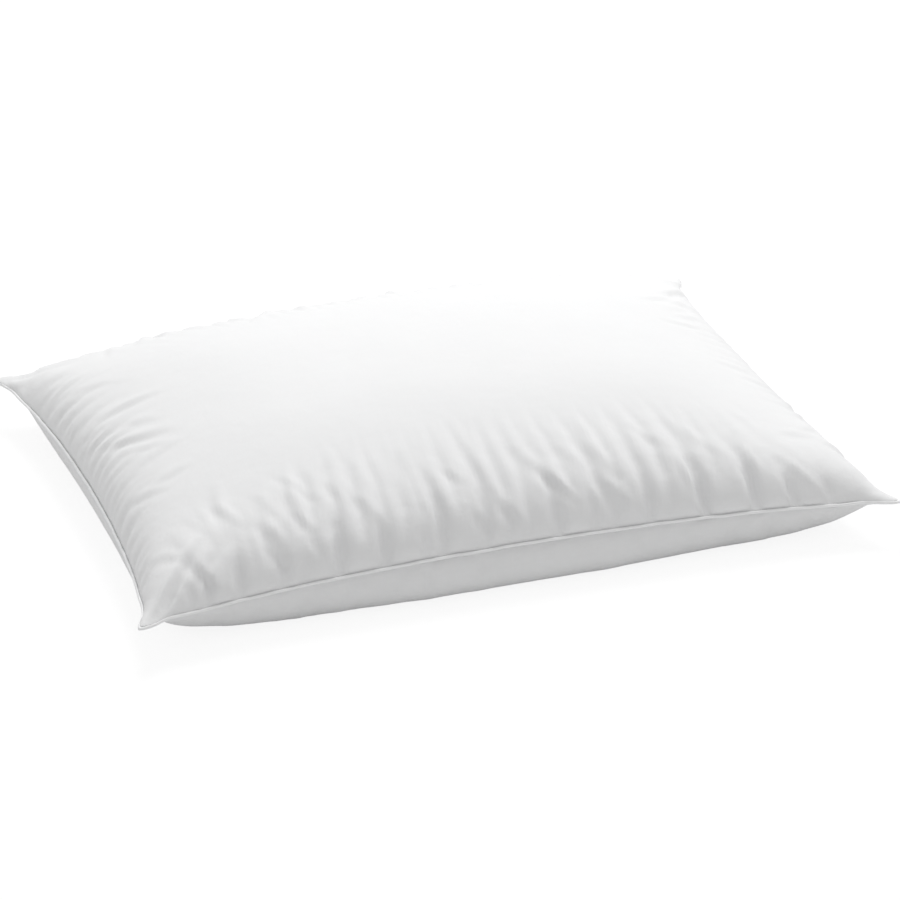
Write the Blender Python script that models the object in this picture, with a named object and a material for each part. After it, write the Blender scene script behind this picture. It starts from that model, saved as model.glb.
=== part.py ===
"""A filled bed pillow, 50 by 70 cm, with a corded piping round its seam.

Two panels of ticking are sewn together 10 mm inside their cut edges, with a piping between them, and turned
right side out. So the panels' edges are folded back into the pillow, where they lie on both sides of the
piping's flange, and only the piping's round edge stands out of the seam. Feathers and down fill the inside,
through a gap in the back seam that is closed from the outside.

Every piece follows one grid over the pillow's outline. u runs from -1 at the left seam to 1 at the right,
v from -1 at the front seam to 1 at the back. Metres, +Z up, the origin on the floor under the middle.
"""

import bmesh
import bpy
import numpy as np

# The filled pillow
CORNER_LENGTH = 0.690       # from corner to corner along X, at the seam
CORNER_DEPTH = 0.490        # from corner to corner along Y
LONG_SIDE_PULL = 0.024      # how far the filling draws the middle of the front and back seams in
SHORT_SIDE_PULL = 0.023     # the same at the left and right seams
CROWN_HEIGHT = 0.136        # top of the pillow above the floor
SIDE_SEAM_HEIGHT = 0.047    # seam above the floor in the middle of a side
CORNER_SEAM_HEIGHT = 0.040  # seam above the floor at a corner
BELLY_DEPTH = 0.062         # how far the underside would hang below the seam with no floor under it

# The sewing
TICKING = 0.0005            # thickness of the panels' cloth
SEAM_ALLOWANCE = 0.010      # cloth turned in from the seam
PIPING_CORD = 0.0014        # diameter of the cord in the piping
PIPING_TAPE = 0.0004        # thickness of the cloth strip folded round it
THREAD = 0.0004             # diameter of all sewing thread
STITCH_INSET = 0.0035       # seam thread's distance from the fold
STITCH_BLUNTING = 0.005     # how much further in it turns each corner
CLOSING_INSET = 0.003       # closing thread's distance from the fold, down the outside of the cloth
LABEL_THICKNESS = 0.0004
CLEARANCE = 0.0003          # gap between pieces that touch

# Shape of the curves
SEAM_BOW_POWER = 3.5        # a seam is nearly straight along its middle and swings out at its ends
SEAM_RISE_POWER = 3.6       # how suddenly it drops on its way to a corner, where it runs level again
CROWN_POWER_U = 3.9         # how far the top stays flat before it rolls down to each seam
CROWN_POWER_V = 2.9
CROWN_EASE = 0.62           # below 1: the panel meets the seam steeply
BELLY_POWER = 3.0
BELLY_EASE = 0.25

# Grid
SEAM_CELL = 0.004                   # first grid line's distance from the fold
CELLS_U = 18
CELLS_V = 12
CELL_CROWDING = np.radians(62)      # how much smaller the cells are near the seams
CLOSING_CELLS = 6                   # length of the closed gap in the back seam, in cells each side of its middle
LABEL_LINE = 3                      # grid line at the label's left edge, counted from the left; it is a cell wide
PIPING_ARC_STEPS = 7
PIPING_CORD_SIDES = 6
THREAD_SIDES = 4

FLANGE_SLOT = CLEARANCE                                 # between the two layers of the piping's flange
FLANGE_HALF = FLANGE_SLOT / 2 + PIPING_TAPE
STACK = FLANGE_HALF + CLEARANCE                         # from the seam's middle plane to a turned-in edge
PIPING_HOLE_RADIUS = PIPING_CORD / 2 + CLEARANCE
PIPING_RADIUS = PIPING_HOLE_RADIUS + PIPING_TAPE
PIPING_CENTRE = -np.sqrt((PIPING_RADIUS + CLEARANCE) ** 2 - STACK**2)   # negative: outside the folds
FILLING_INSET = SEAM_ALLOWANCE + 4 * CLEARANCE

COTTON = ((0.86, 0.86, 0.87), 0.85)
PIPING_COTTON = ((0.90, 0.90, 0.91), 0.75)
FEATHERS = ((0.83, 0.82, 0.79), 0.95)
POLYESTER = ((0.88, 0.88, 0.88), 0.50)
SATIN = ((0.92, 0.92, 0.91), 0.45)


def seam_half_length(v):
    return CORNER_LENGTH / 2 - SHORT_SIDE_PULL * (1 - np.abs(v) ** SEAM_BOW_POWER)


def seam_half_depth(u):
    return CORNER_DEPTH / 2 - LONG_SIDE_PULL * (1 - np.abs(u) ** SEAM_BOW_POWER)


def seam_height(u, v):
    """Highest in the middle of each side, and level there and at the corners."""
    rise = (1 - np.abs(u * v) ** SEAM_RISE_POWER) ** 2
    return CORNER_SEAM_HEIGHT + (SIDE_SEAM_HEIGHT - CORNER_SEAM_HEIGHT) * rise


def dome(u, v, power_u, power_v, ease):
    """1 in the middle and 0 along the seam."""
    return ((1 - np.abs(u) ** power_u) * (1 - np.abs(v) ** power_v)) ** ease


def panel_height(u, v, side):
    """Height of the outside of the top (side 1) or the bottom (side -1), flat where it rests on the floor."""
    if side > 0:
        crown = CROWN_HEIGHT - SIDE_SEAM_HEIGHT - STACK
        return seam_height(u, v) + STACK + crown * dome(u, v, CROWN_POWER_U, CROWN_POWER_V, CROWN_EASE)
    belly = BELLY_DEPTH * dome(u, v, BELLY_POWER, BELLY_POWER, BELLY_EASE)
    return np.maximum(seam_height(u, v) - STACK - belly, 0)


def grid_lines(half, cells):
    """Grid lines from -1 to 1: the seam, one close inside it, the filling's edge, and cells up to the middle."""
    step = np.linspace(-1, 1, cells + 1)
    inner = (half - FILLING_INSET) * np.sin(step * CELL_CROWDING) / np.sin(CELL_CROWDING)
    edge = np.array([half, half - SEAM_CELL])
    return np.concatenate([-edge, inner, edge[::-1]]) / half


def panel_grid(side):
    """Points of a panel's outer face, indexed [u, v], and the outward normals there."""
    u = grid_lines(CORNER_LENGTH / 2, CELLS_U)[:, None]
    v = grid_lines(CORNER_DEPTH / 2, CELLS_V)[None, :]
    u, v = np.broadcast_arrays(u, v)
    outer = np.stack([u * seam_half_length(v), v * seam_half_depth(u), panel_height(u, v, side)], axis=-1)
    across = np.cross(np.gradient(outer, axis=0), np.gradient(outer, axis=1))
    normal = side * across / np.linalg.norm(across, axis=-1, keepdims=True)
    return outer, normal


def ring_order(rows, columns):
    """Indexes of a grid's border, anticlockwise from its first point."""
    front = [(i, 0) for i in range(rows - 1)]
    right = [(rows - 1, j) for j in range(columns - 1)]
    back = [(i, columns - 1) for i in range(rows - 1, 0, -1)]
    left = [(0, j) for j in range(columns - 1, 0, -1)]
    return tuple(np.array(front + right + back + left).T)


def seam_ring(inset, height):
    """Points round the seam, one for each point of the grid's border, moved in and up. Both can vary round it."""
    u = grid_lines(CORNER_LENGTH / 2, CELLS_U)
    v = grid_lines(CORNER_DEPTH / 2, CELLS_V)
    i, j = ring_order(len(u), len(v))
    u, v = u[i], v[j]
    x = u * (seam_half_length(v) - inset)
    y = v * (seam_half_depth(u) - inset)
    return np.stack([x, y, seam_height(u, v) + height], axis=-1)


def distance_from_corner():
    """Distance along the seam from each of its points to the nearest corner."""
    ring = np.abs(seam_ring(0, 0)[:, :2])
    return np.abs(ring - np.array([CORNER_LENGTH, CORNER_DEPTH]) / 2).sum(axis=1)


def grid_faces(index):
    """Quads over a 2-D array of vertex indexes, anticlockwise seen from the side that its rows and columns face."""
    corners = (index[:-1, :-1], index[1:, :-1], index[1:, 1:], index[:-1, 1:])
    return np.stack(corners, axis=-1).reshape(-1, 4).tolist()


def band_faces(loops):
    """Quads between each closed loop of vertex indexes and the next."""
    index = np.array(loops)
    return grid_faces(np.concatenate([index, index[:, :1]], axis=1))


def make_material(name, look):
    colour, roughness = look
    material = bpy.data.materials.new(name)
    material.use_nodes = True
    shader = material.node_tree.nodes["Principled BSDF"]
    shader.inputs["Base Color"].default_value = (*colour, 1)
    shader.inputs["Roughness"].default_value = roughness
    shader.inputs["Metallic"].default_value = 0
    return material


def make_object(name, points, faces, look):
    """One closed body from its points and faces, with its faces turned outwards."""
    mesh = bpy.data.meshes.new(name)
    mesh.from_pydata(np.asarray(points).tolist(), [], faces)
    body = bmesh.new()
    body.from_mesh(mesh)
    bmesh.ops.triangulate(body, faces=body.faces[:])
    bmesh.ops.recalc_face_normals(body, faces=body.faces[:])
    if body.calc_volume(signed=True) < 0:
        bmesh.ops.reverse_faces(body, faces=body.faces[:])
    body.to_mesh(mesh)
    body.free()
    mesh.shade_smooth()
    mesh.set_sharp_from_angle(angle=np.radians(40))
    mesh.materials.append(make_material(name, look))
    made = bpy.data.objects.new(name, mesh)
    bpy.context.scene.collection.objects.link(made)
    return made


def add_tube(name, section_rings, look, closed):
    """A tube through section_rings[point, side]: a closed ring, or a run with flat ends."""
    count, sides = section_rings.shape[:2]
    index = np.arange(count * sides).reshape(count, sides)
    loops = np.concatenate([index, index[:1]]) if closed else index
    faces = band_faces(loops)
    if not closed:
        faces += [index[0].tolist(), index[-1][::-1].tolist()]
    return make_object(name, section_rings.reshape(-1, 3), faces, look)


def round_section(radius, sides):
    """Offsets inwards and upwards of the corners of a thread's or cord's cross-section."""
    angle = (np.arange(sides) + 0.5) * 2 * np.pi / sides
    return radius * np.cos(angle), radius * np.sin(angle)


def make_panel(name, side):
    """Outer face, inner face one cloth thickness inside it, and the edge folded back in along the seam.

    In the seam's cross-section the cloth is a V on its side. Its point is the fold, its sloping arm is the
    panel and its level arm is the turned-in edge. The notch is the inside of the fold.
    """
    outer, normal = panel_grid(side)
    inner = outer - TICKING * normal
    rows, columns = outer.shape[:2]
    border = ring_order(rows, columns)
    fold = outer[border]

    next_in = outer[np.clip(border[0], 1, rows - 2), np.clip(border[1], 1, columns - 2)]
    slope = np.arctan2(side * (next_in - fold)[:, 2], SEAM_CELL)
    notch = TICKING / np.tan(slope / 2)
    inner[border] = seam_ring(notch, side * (STACK + TICKING))

    outer_index = np.arange(rows * columns).reshape(rows, columns)
    inner_index = outer_index + rows * columns
    edge_start = 2 * rows * columns
    count = len(fold)
    cut_edge_outer = np.arange(edge_start, edge_start + count)
    cut_edge_inner = cut_edge_outer + count
    points = np.concatenate([
        outer.reshape(-1, 3),
        inner.reshape(-1, 3),
        seam_ring(SEAM_ALLOWANCE, side * STACK),
        seam_ring(SEAM_ALLOWANCE, side * (STACK + TICKING)),
    ])
    faces = grid_faces(outer_index) + grid_faces(inner_index[:, ::-1])
    faces += band_faces([outer_index[border], cut_edge_outer, cut_edge_inner, inner_index[border]])
    return make_object(name, points, faces, COTTON)


def make_filling():
    """The feathers: everything between the panels, ending at a low wall just inside the turned-in edges."""
    inside = (slice(2, -2), slice(2, -2))
    layers = []
    for side in (1, -1):
        outer, normal = panel_grid(side)
        layers.append((outer - (TICKING + CLEARANCE) * normal)[inside])
    top, bottom = layers
    rows, columns = top.shape[:2]
    border = ring_order(rows, columns)
    top_index = np.arange(rows * columns).reshape(rows, columns)
    bottom_index = top_index + rows * columns
    faces = grid_faces(top_index) + grid_faces(bottom_index[:, ::-1])
    faces += band_faces([top_index[border], bottom_index[border]])
    points = np.concatenate([top.reshape(-1, 3), bottom.reshape(-1, 3)])
    return make_object("filling", points, faces, FEATHERS)


def make_piping_cover():
    """A cloth strip folded round the cord. Its two layers run in between the panels' turned-in edges.

    The slot between the two layers is open along its inner side, so the cord's tunnel isn't sealed.
    """
    def arc(radius, half_opening):
        start = np.arcsin(half_opening / radius)
        angle = np.linspace(start, 2 * np.pi - start, PIPING_ARC_STEPS + 1)
        return PIPING_CENTRE + radius * np.cos(angle), radius * np.sin(angle)

    outer_in, outer_up = arc(PIPING_RADIUS, FLANGE_HALF)
    hole_in, hole_up = arc(PIPING_HOLE_RADIUS, FLANGE_SLOT / 2)
    inwards = np.concatenate([[SEAM_ALLOWANCE], outer_in, [SEAM_ALLOWANCE] * 2, hole_in[::-1], [SEAM_ALLOWANCE]])
    upwards = np.concatenate([
        [FLANGE_HALF], outer_up, [-FLANGE_HALF, -FLANGE_SLOT / 2], hole_up[::-1], [FLANGE_SLOT / 2],
    ])
    rings = np.stack([seam_ring(i, z) for i, z in zip(inwards, upwards)], axis=1)
    return add_tube("piping_cover", rings, PIPING_COTTON, closed=True)


def make_piping_cord():
    inwards, upwards = round_section(PIPING_CORD / 2, PIPING_CORD_SIDES)
    rings = np.stack([seam_ring(PIPING_CENTRE + i, z) for i, z in zip(inwards, upwards)], axis=1)
    return add_tube("piping_cord", rings, PIPING_COTTON, closed=True)


def make_seam_thread(name, side):
    """The seam's thread where it lies on the turned-in edge, inside the pillow. It rounds off the corners."""
    blunting = STITCH_BLUNTING * np.exp(-((distance_from_corner() / (2 * STITCH_BLUNTING)) ** 2))
    line = STITCH_INSET + blunting
    level = STACK + TICKING + CLEARANCE + THREAD / 2
    inwards, upwards = round_section(THREAD / 2, THREAD_SIDES)
    rings = np.stack([seam_ring(line + i, side * (level + z)) for i, z in zip(inwards, upwards)], axis=1)
    return add_tube(name, rings, POLYESTER, closed=True)


def back_wall(side, lines):
    """Where a panel meets the back seam: the fold, the unit vectors down the cloth and out of it, and its length."""
    outer, normal = panel_grid(side)
    fold = outer[lines, -1]
    down = outer[lines, -2] - fold
    length = np.linalg.norm(down, axis=-1, keepdims=True)
    return fold, down / length, normal[lines, -1], length


def make_closing_thread(name, side):
    """The thread that closes the gap left for the filling: it lies on a panel's outside, beside the back seam."""
    middle = len(grid_lines(CORNER_LENGTH / 2, CELLS_U)) // 2
    fold, down, out, _ = back_wall(side, slice(middle - CLOSING_CELLS, middle + CLOSING_CELLS + 1))
    line = fold + CLOSING_INSET * down + (CLEARANCE + THREAD / 2) * out
    inwards, upwards = round_section(THREAD / 2, THREAD_SIDES)
    rings = line[:, None] + inwards[:, None] * down[:, None] + upwards[:, None] * out[:, None]
    return add_tube(name, rings, POLYESTER, closed=False)


def make_care_label():
    """A blank satin label that hangs from the back seam, under the piping, against the bottom panel."""
    fold, down, out, length = back_wall(-1, slice(LABEL_LINE, LABEL_LINE + 2))
    below_piping = (PIPING_RADIUS + CLEARANCE - STACK) / -down[:, 2:]
    corners = np.concatenate([fold + below_piping * down, (fold + length * down)[::-1]])
    out = np.concatenate([out, out[::-1]])
    sections = np.stack([corners + CLEARANCE * out, corners + (CLEARANCE + LABEL_THICKNESS) * out])
    return add_tube("care_label", sections, SATIN, closed=False)


def main():
    for old in list(bpy.data.objects):
        bpy.data.objects.remove(old)
    make_panel("top_panel", 1)
    make_panel("bottom_panel", -1)
    make_filling()
    make_piping_cover()
    make_piping_cord()
    make_seam_thread("seam_needle_thread", 1)
    make_seam_thread("seam_bobbin_thread", -1)
    make_closing_thread("closing_needle_thread", 1)
    make_closing_thread("closing_bobbin_thread", -1)
    make_care_label()


main()
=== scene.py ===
# %% [markdown]
# # A feather pillow with a piped seam
#
# A bed pillow is two flat pieces of cloth, sewn together round the edge with a thin piping between them,
# and stuffed with feathers and down. Nothing in it is rigid, so its whole shape comes from how cloth
# behaves when it is filled: a broad crown, sides drawn in between the corners, and puckers where the cloth
# has more width than the drawn-in seam can take. This script makes it the same way. It cuts the cloth, sews
# it, fills it, lets it settle, and then makes every sewn piece along the seam that comes out.
#
# ## Loading the frame
#
# The imported CAD model comes first. It says where each piece is and how big the pillow may be, in metres.

# %% Load the frame
import bpy
import math
import numpy as np
from mathutils import Matrix, Vector


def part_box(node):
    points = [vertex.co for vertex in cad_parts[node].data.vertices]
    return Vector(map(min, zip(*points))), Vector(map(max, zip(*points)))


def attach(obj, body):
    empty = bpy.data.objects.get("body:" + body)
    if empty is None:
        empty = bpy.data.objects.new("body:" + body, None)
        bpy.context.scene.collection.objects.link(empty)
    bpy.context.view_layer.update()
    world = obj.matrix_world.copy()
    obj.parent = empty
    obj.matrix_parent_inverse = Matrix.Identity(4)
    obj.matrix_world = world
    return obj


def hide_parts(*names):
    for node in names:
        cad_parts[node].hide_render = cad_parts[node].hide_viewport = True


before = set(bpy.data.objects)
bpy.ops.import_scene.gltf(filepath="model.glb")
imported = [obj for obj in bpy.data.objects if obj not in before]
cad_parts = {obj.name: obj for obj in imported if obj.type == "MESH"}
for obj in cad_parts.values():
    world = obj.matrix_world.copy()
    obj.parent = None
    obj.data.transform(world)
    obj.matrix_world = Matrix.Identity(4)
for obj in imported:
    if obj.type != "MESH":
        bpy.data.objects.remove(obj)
bpy.context.view_layer.update()

# %% [markdown]
# ## The camera
#
# A camera far away with a long lens keeps the pillow's far side almost as long as its near side. It looks
# at a point over the middle of the pillow, from the front and a little to the left, about as steeply as a
# person who stands beside the bed. The small shift only centres the view, as a view camera's sliding back
# does.

# %% Put the camera in place
AIM = Vector((0.0, 0.0, 0.05))
CAMERA_DISTANCE = 3.62
CAMERA_AZIMUTH = math.radians(-20.3)
CAMERA_ELEVATION = math.radians(26.9)
CAMERA_ROLL = math.radians(0.71)


def stand_camera(azimuth, elevation, roll, distance):
    """The matrix of a camera that looks at AIM. back points from AIM to the camera, up = back x right."""
    back = Vector((math.sin(azimuth) * math.cos(elevation),
                   -math.cos(azimuth) * math.cos(elevation),
                   math.sin(elevation)))
    right = Vector((math.cos(azimuth), math.sin(azimuth), 0.0))
    up = back.cross(right)
    turned_right = right * math.cos(roll) + up * math.sin(roll)
    turned_up = up * math.cos(roll) - right * math.sin(roll)
    placed = Matrix((turned_right, turned_up, back)).transposed().to_4x4()
    placed.translation = AIM + back * distance
    return placed


lens = bpy.data.cameras.new("studio_camera")
lens.sensor_width = 36.0
lens.lens = 158.5
lens.shift_x = 0.0182
lens.shift_y = -0.0232
lens.clip_end = 60.0
camera = bpy.data.objects.new("studio_camera", lens)
camera.matrix_world = stand_camera(CAMERA_AZIMUTH, CAMERA_ELEVATION, CAMERA_ROLL, CAMERA_DISTANCE)
bpy.context.scene.collection.objects.link(camera)
bpy.context.scene.camera = camera
print("camera at", np.round(camera.matrix_world.translation, 3).tolist())

# %% [markdown]
# ## Cutting the cloth
#
# Both panels are cut to the same rectangle and laid one on the other on a grid of threads. Blender's own
# Cloth could fill them, but here the cloth is a numpy array of points, `places[layer, i, j]`, because the
# finished grid is also what carries the seam, the piping and the weave. The cells start large, which
# settles the big shape fast, and get smaller from pass to pass. A finer grid is read from the coarser one
# along smooth curves.

# %% The size of the cut cloth
SEWN_LENGTH = 0.700         # between the seams, before filling
SEWN_DEPTH = 0.500
SEAM_ALLOWANCE = 0.010      # turned in on all four sides
SINGLE = np.float32


def smooth_reading(grid, where, count, axis):
    """The grid's values at fractional places along one axis, on Catmull-Rom curves through its points."""
    first = np.clip(np.floor(where).astype(int), 0, count - 1)
    shape = [1] * grid.ndim
    shape[axis] = len(where)
    t = (where - first).astype(SINGLE).reshape(shape)
    a, b, c, d = [np.take(grid, np.clip(first + k, 0, count), axis=axis) for k in (-1, 0, 1, 2)]
    a = np.where((first == 0).reshape(shape), 2 * b - c, a)
    d = np.where((first == count - 1).reshape(shape), 2 * c - b, d)
    return 0.5 * (2 * b + (c - a) * t + (2 * a - 5 * b + 4 * c - d) * t**2 + (3 * b - 3 * c + d - a) * t**3)


def finer(grid, cells):
    """The same two layers on a grid of (cells along, cells across)."""
    along, across = grid.shape[1] - 1, grid.shape[2] - 1
    grid = smooth_reading(grid, np.linspace(0, along, cells[0] + 1), along, 1)
    return smooth_reading(grid, np.linspace(0, across, cells[1] + 1), across, 2).astype(SINGLE)


def cells_of(size):
    """How many cells of about this size the cut cloth has, along and across."""
    return round(SEWN_LENGTH / size), round(SEWN_DEPTH / size)


def flat_places(cells):
    """Where each grid point lies on the flat cloth: x from the left seam and y from the front one."""
    x = np.linspace(0, SEWN_LENGTH, cells[0] + 1)
    y = np.linspace(0, SEWN_DEPTH, cells[1] + 1)
    return np.meshgrid(x, y, indexing="ij")


def to_seam(x, y):
    """How far a flat place is from the nearest seam."""
    return np.minimum(np.minimum(x, SEWN_LENGTH - x), np.minimum(y, SEWN_DEPTH - y))


def cell_sides(cells):
    """The sides of one cell of the cut cloth."""
    return SEWN_LENGTH / cells[0], SEWN_DEPTH / cells[1]


print("cut", SEWN_LENGTH + 2 * SEAM_ALLOWANCE, "by", SEWN_DEPTH + 2 * SEAM_ALLOWANCE, "m")

# %% [markdown]
# ## What cloth does
#
# A thread hardly stretches, but it bends easily and gives way when it is pushed. So each step moves the
# points freely, and then corrects every short piece of thread: one that is too long is pulled back to its
# length, one that is too short is pushed back only partly. The pieces are taken in sets that share no
# point, which lets numpy correct a whole set at once. Diagonals give the weave a little shear stiffness,
# and pieces two cells long keep it from creasing at every cell.

# %% Correcting the threads
ALL = slice(None)
BUT_LAST = slice(None, -1)
BUT_FIRST = slice(1, None)
EDGES = ((0, ALL), (-1, ALL), (ALL, 0), (ALL, -1))


def sew(places):
    """Both layers share one line of stitches round the edge: each pair of edge points meets halfway."""
    for edge in EDGES:
        middle = (places[(0,) + edge] + places[(1,) + edge]) * SINGLE(0.5)
        places[(0,) + edge] = middle
        places[(1,) + edge] = middle


def lengths(vectors):
    """The length of each vector, kept a hair above zero so that it can be divided by."""
    return np.sqrt(np.einsum("...i,...i->...", vectors, vectors)) + SINGLE(1e-9)


def correct(a, b, rest, free_a, free_b, pull, push):
    """Moves the ends of many thread pieces: each end takes its share of (length - rest) along the piece."""
    gap = b - a
    length = lengths(gap)
    share = (length - rest) / length
    share *= np.where(share > 0, SINGLE(pull), SINGLE(push))
    share /= np.maximum(free_a + free_b, SINGLE(1e-6))[..., 0]
    gap *= share[..., None]
    a += gap * free_a
    b -= gap * free_b


def along_axis(axis, start, stop, step=1):
    """An index that takes start:stop:step of one axis and all of the others."""
    index = [ALL] * 3
    index[axis] = slice(start, stop, step)
    return tuple(index)


def correct_threads(places, rest, free, push, shear, bend):
    """One sweep over the warp (axis 1) and weft (axis 2) pieces, the diagonals and the two-cell pieces."""
    for axis in (1, 2):
        count = places.shape[axis] - 1
        for odd in (0, 1):
            n = (count + 1 - odd) // 2
            near = along_axis(axis, odd, odd + 2 * n, 2)
            far = along_axis(axis, odd + 1, odd + 2 * n, 2)
            own = rest[axis - 1][along_axis(axis, odd, odd + 2 * n - 1, 2)]
            correct(places[near], places[far], own, free[near], free[far], 1.0, push)
    slant = np.hypot((rest[0][:, :, 1:] + rest[0][:, :, :-1]) / 2,
                     (rest[1][:, 1:] + rest[1][:, :-1]) / 2)
    for odd in (0, 1):
        n = (places.shape[1] - odd) // 2
        near, far = slice(odd, odd + 2 * n, 2), slice(odd + 1, odd + 2 * n, 2)
        own = slant[:, odd::2][:, :n]
        for left, right in ((BUT_LAST, BUT_FIRST), (BUT_FIRST, BUT_LAST)):
            correct(places[:, near, left], places[:, far, right], own,
                    free[:, near, left], free[:, far, right], shear, shear)
    for axis in (1, 2):
        count = places.shape[axis] - 1
        own = rest[axis - 1]
        double = own[along_axis(axis, 1, count)] + own[along_axis(axis, 0, count - 1)]
        for first in range(4):
            near = along_axis(axis, first, count - 1, 4)
            far = along_axis(axis, first + 2, count + 1, 4)
            correct(places[near], places[far], double[near], free[near], free[far], 0.0, bend)


def correct_long_runs(places, spans, cell):
    """No two points a run of k cells apart can be further apart than k cells of thread are long."""
    for k in spans:
        for axis in (1, 2):
            count = places.shape[axis] - 1
            near = along_axis(axis, 0, count + 1 - k)
            far = along_axis(axis, k, count + 1)
            gap = places[far] - places[near]
            length = lengths(gap)
            too_long = np.maximum(length - SINGLE(k * cell[axis - 1]), 0)
            gap *= (too_long / length * SINGLE(0.25))[..., None]
            move = np.zeros_like(places)
            move[near] += gap
            move[far] -= gap
            places += move


print("thread pieces on a 5 mm grid:", 4 * math.prod(cells_of(0.005)))

# %% [markdown]
# ## Filling
#
# Feathers are light and springy, so they press outwards on the cloth at every point, a little harder low
# down under their own weight. That pressure comes from how much room they have: it rises when the cover is
# too small for 30 litres and falls when it is too large. The floor stops the underside, which flattens it.

# %% Pressure of the filling
FILLING_VOLUME = 0.030          # cubic metres
FILLING_DENSITY = 40.0          # kilograms in a cubic metre, packed
FILLING_SPRING = 3000.0         # pascals for each part of volume that is missing
CLOTH_WEIGHT = 1.0              # kilograms of moving mass for a square metre
GRAVITY = 9.81
SPEED_KEPT = 0.97               # the air and the feathers take the rest at each step
FARTHEST_STEP = 0.4             # parts of a cell that a point may move in one step
CLOTH_FIRMNESS = (0.6, 0.3, 0.15)   # against a push, a slant and a bend


def outward_areas(places):
    """Each point's share of the outward area vectors of the cells round it, and the volume inside."""
    one = places[:, 1:, 1:] - places[:, :-1, :-1]
    other = places[:, :-1, 1:] - places[:, 1:, :-1]
    area = np.cross(one, other) * SINGLE(0.5)
    area[1] *= -1
    middle = (places[:, 1:, 1:] + places[:, :-1, :-1] + places[:, :-1, 1:] + places[:, 1:, :-1]) / 4
    volume = float((area.astype(float) * middle).sum() / 3)
    shared = np.zeros_like(places)
    for corner in ((BUT_FIRST, BUT_FIRST), (BUT_LAST, BUT_LAST),
                   (BUT_LAST, BUT_FIRST), (BUT_FIRST, BUT_LAST)):
        shared[(ALL,) + corner] += area * SINGLE(0.25)
    for edge in EDGES:
        both = shared[(0,) + edge] + shared[(1,) + edge]
        shared[(0,) + edge] = both
        shared[(1,) + edge] = both
    return shared, volume


def even_rest(cells):
    """Rest lengths of warp and weft where the cloth is neither gathered nor eased."""
    along, across = cell_sides(cells)
    warp = np.full((2, cells[0], cells[1] + 1), along, SINGLE)
    weft = np.full((2, cells[0] + 1, cells[1]), across, SINGLE)
    return warp, weft


def fill(places, steps, pace, spans):
    """Moves the cover through time: speed += pressure * area / mass - gravity, then the threads pull."""
    cells = (places.shape[1] - 1, places.shape[2] - 1)
    cell = cell_sides(cells)
    rest = even_rest(cells)
    free = np.ones(places.shape[:3] + (1,), SINGLE)
    mass = CLOTH_WEIGHT * cell[0] * cell[1]
    speed = np.zeros_like(places)
    for _ in range(steps):
        area, volume = outward_areas(places)
        press = FILLING_SPRING * (FILLING_VOLUME / volume - 1)
        press = press + FILLING_DENSITY * GRAVITY * (places[0, ..., 2].max() - places[..., 2])
        speed += area * (press * (pace / mass)).astype(SINGLE)[..., None]
        speed[..., 2] -= SINGLE(GRAVITY * pace)
        speed *= SINGLE(SPEED_KEPT)
        speed *= np.minimum(SINGLE(1), SINGLE(FARTHEST_STEP * min(cell) / pace) / lengths(speed))[..., None]
        before = places.copy()
        places += speed * SINGLE(pace)
        for _ in range(3):
            correct_long_runs(places, spans, cell)
            correct_threads(places, rest, free, *CLOTH_FIRMNESS)
            sew(places)
        low = places[..., 2:] < 0
        places[..., :2] = np.where(low, (places[..., :2] + before[..., :2]) / 2, places[..., :2])
        places[..., 2] = np.maximum(places[..., 2], 0)
        speed = (places - before) / SINGLE(pace)
    return places, volume


# %% [markdown]
# The first cover is just two slightly raised sheets. It is filled on cells of 20 mm, then 10 mm, then 5 mm.
# A trace of roughness goes in before each finer pass, so that the cloth has somewhere to start a wrinkle.

# %% Fill the cover
LAID_HEIGHT = 0.045         # of the sheets' middle over the floor, before filling
LAID_LIFT = 0.03            # how far each sheet is lifted from that
LAID_REACH = 0.05           # from the seam to where it is lifted in full
ROUGHNESS_SEED = 1


def laid_out(cells):
    """Two layers that part a little inside the seam: the lift grows with the square root of the distance."""
    x, y = flat_places(cells)
    lift = LAID_LIFT * np.clip(to_seam(x, y) / LAID_REACH, 0, 1) ** 0.5
    x, y = x - SEWN_LENGTH / 2, y - SEWN_DEPTH / 2
    sheets = [np.stack([x, y, LAID_HEIGHT + side * lift], -1) for side in (1, -1)]
    return np.stack(sheets).astype(SINGLE)


cover = laid_out(cells_of(0.020))
# cell size, steps, seconds in a step, runs of cells that are kept from stretching, roughness
for size, steps, pace, spans, rough in ((0.020, 500, 0.004, (3, 8), 0.0),
                                        (0.010, 400, 0.003, (4, 12), 0.0003),
                                        (0.005, 300, 0.002, (3, 8, 24), 0.0002)):
    cover = finer(cover, cells_of(size))
    roughness = np.random.default_rng(ROUGHNESS_SEED).normal(0, rough, cover.shape[:3])
    cover[..., 2] += roughness.astype(SINGLE)
    sew(cover)
    cover, volume = fill(cover, steps, pace, spans)
    print(f"cells of {size * 1000:.0f} mm: {volume * 1000:.1f} litres,",
          f"{cover[..., 2].max() * 1000:.0f} mm high")

# %% [markdown]
# ## What the simulation leaves out
#
# At a corner six layers of cloth and the piping's turn lie on each other. They are stiff, so a real corner
# stands up where this plain cloth droops, its point lies flat because little filling gets there, and it
# lifts the underside beside it off the floor. Loose feathers also slump. They push the underside out below
# the long seams, and leave the crown leaner at its right end and over its back left corner. All of these
# are smooth moves of the settled shape, by 24 mm at most.

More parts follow.
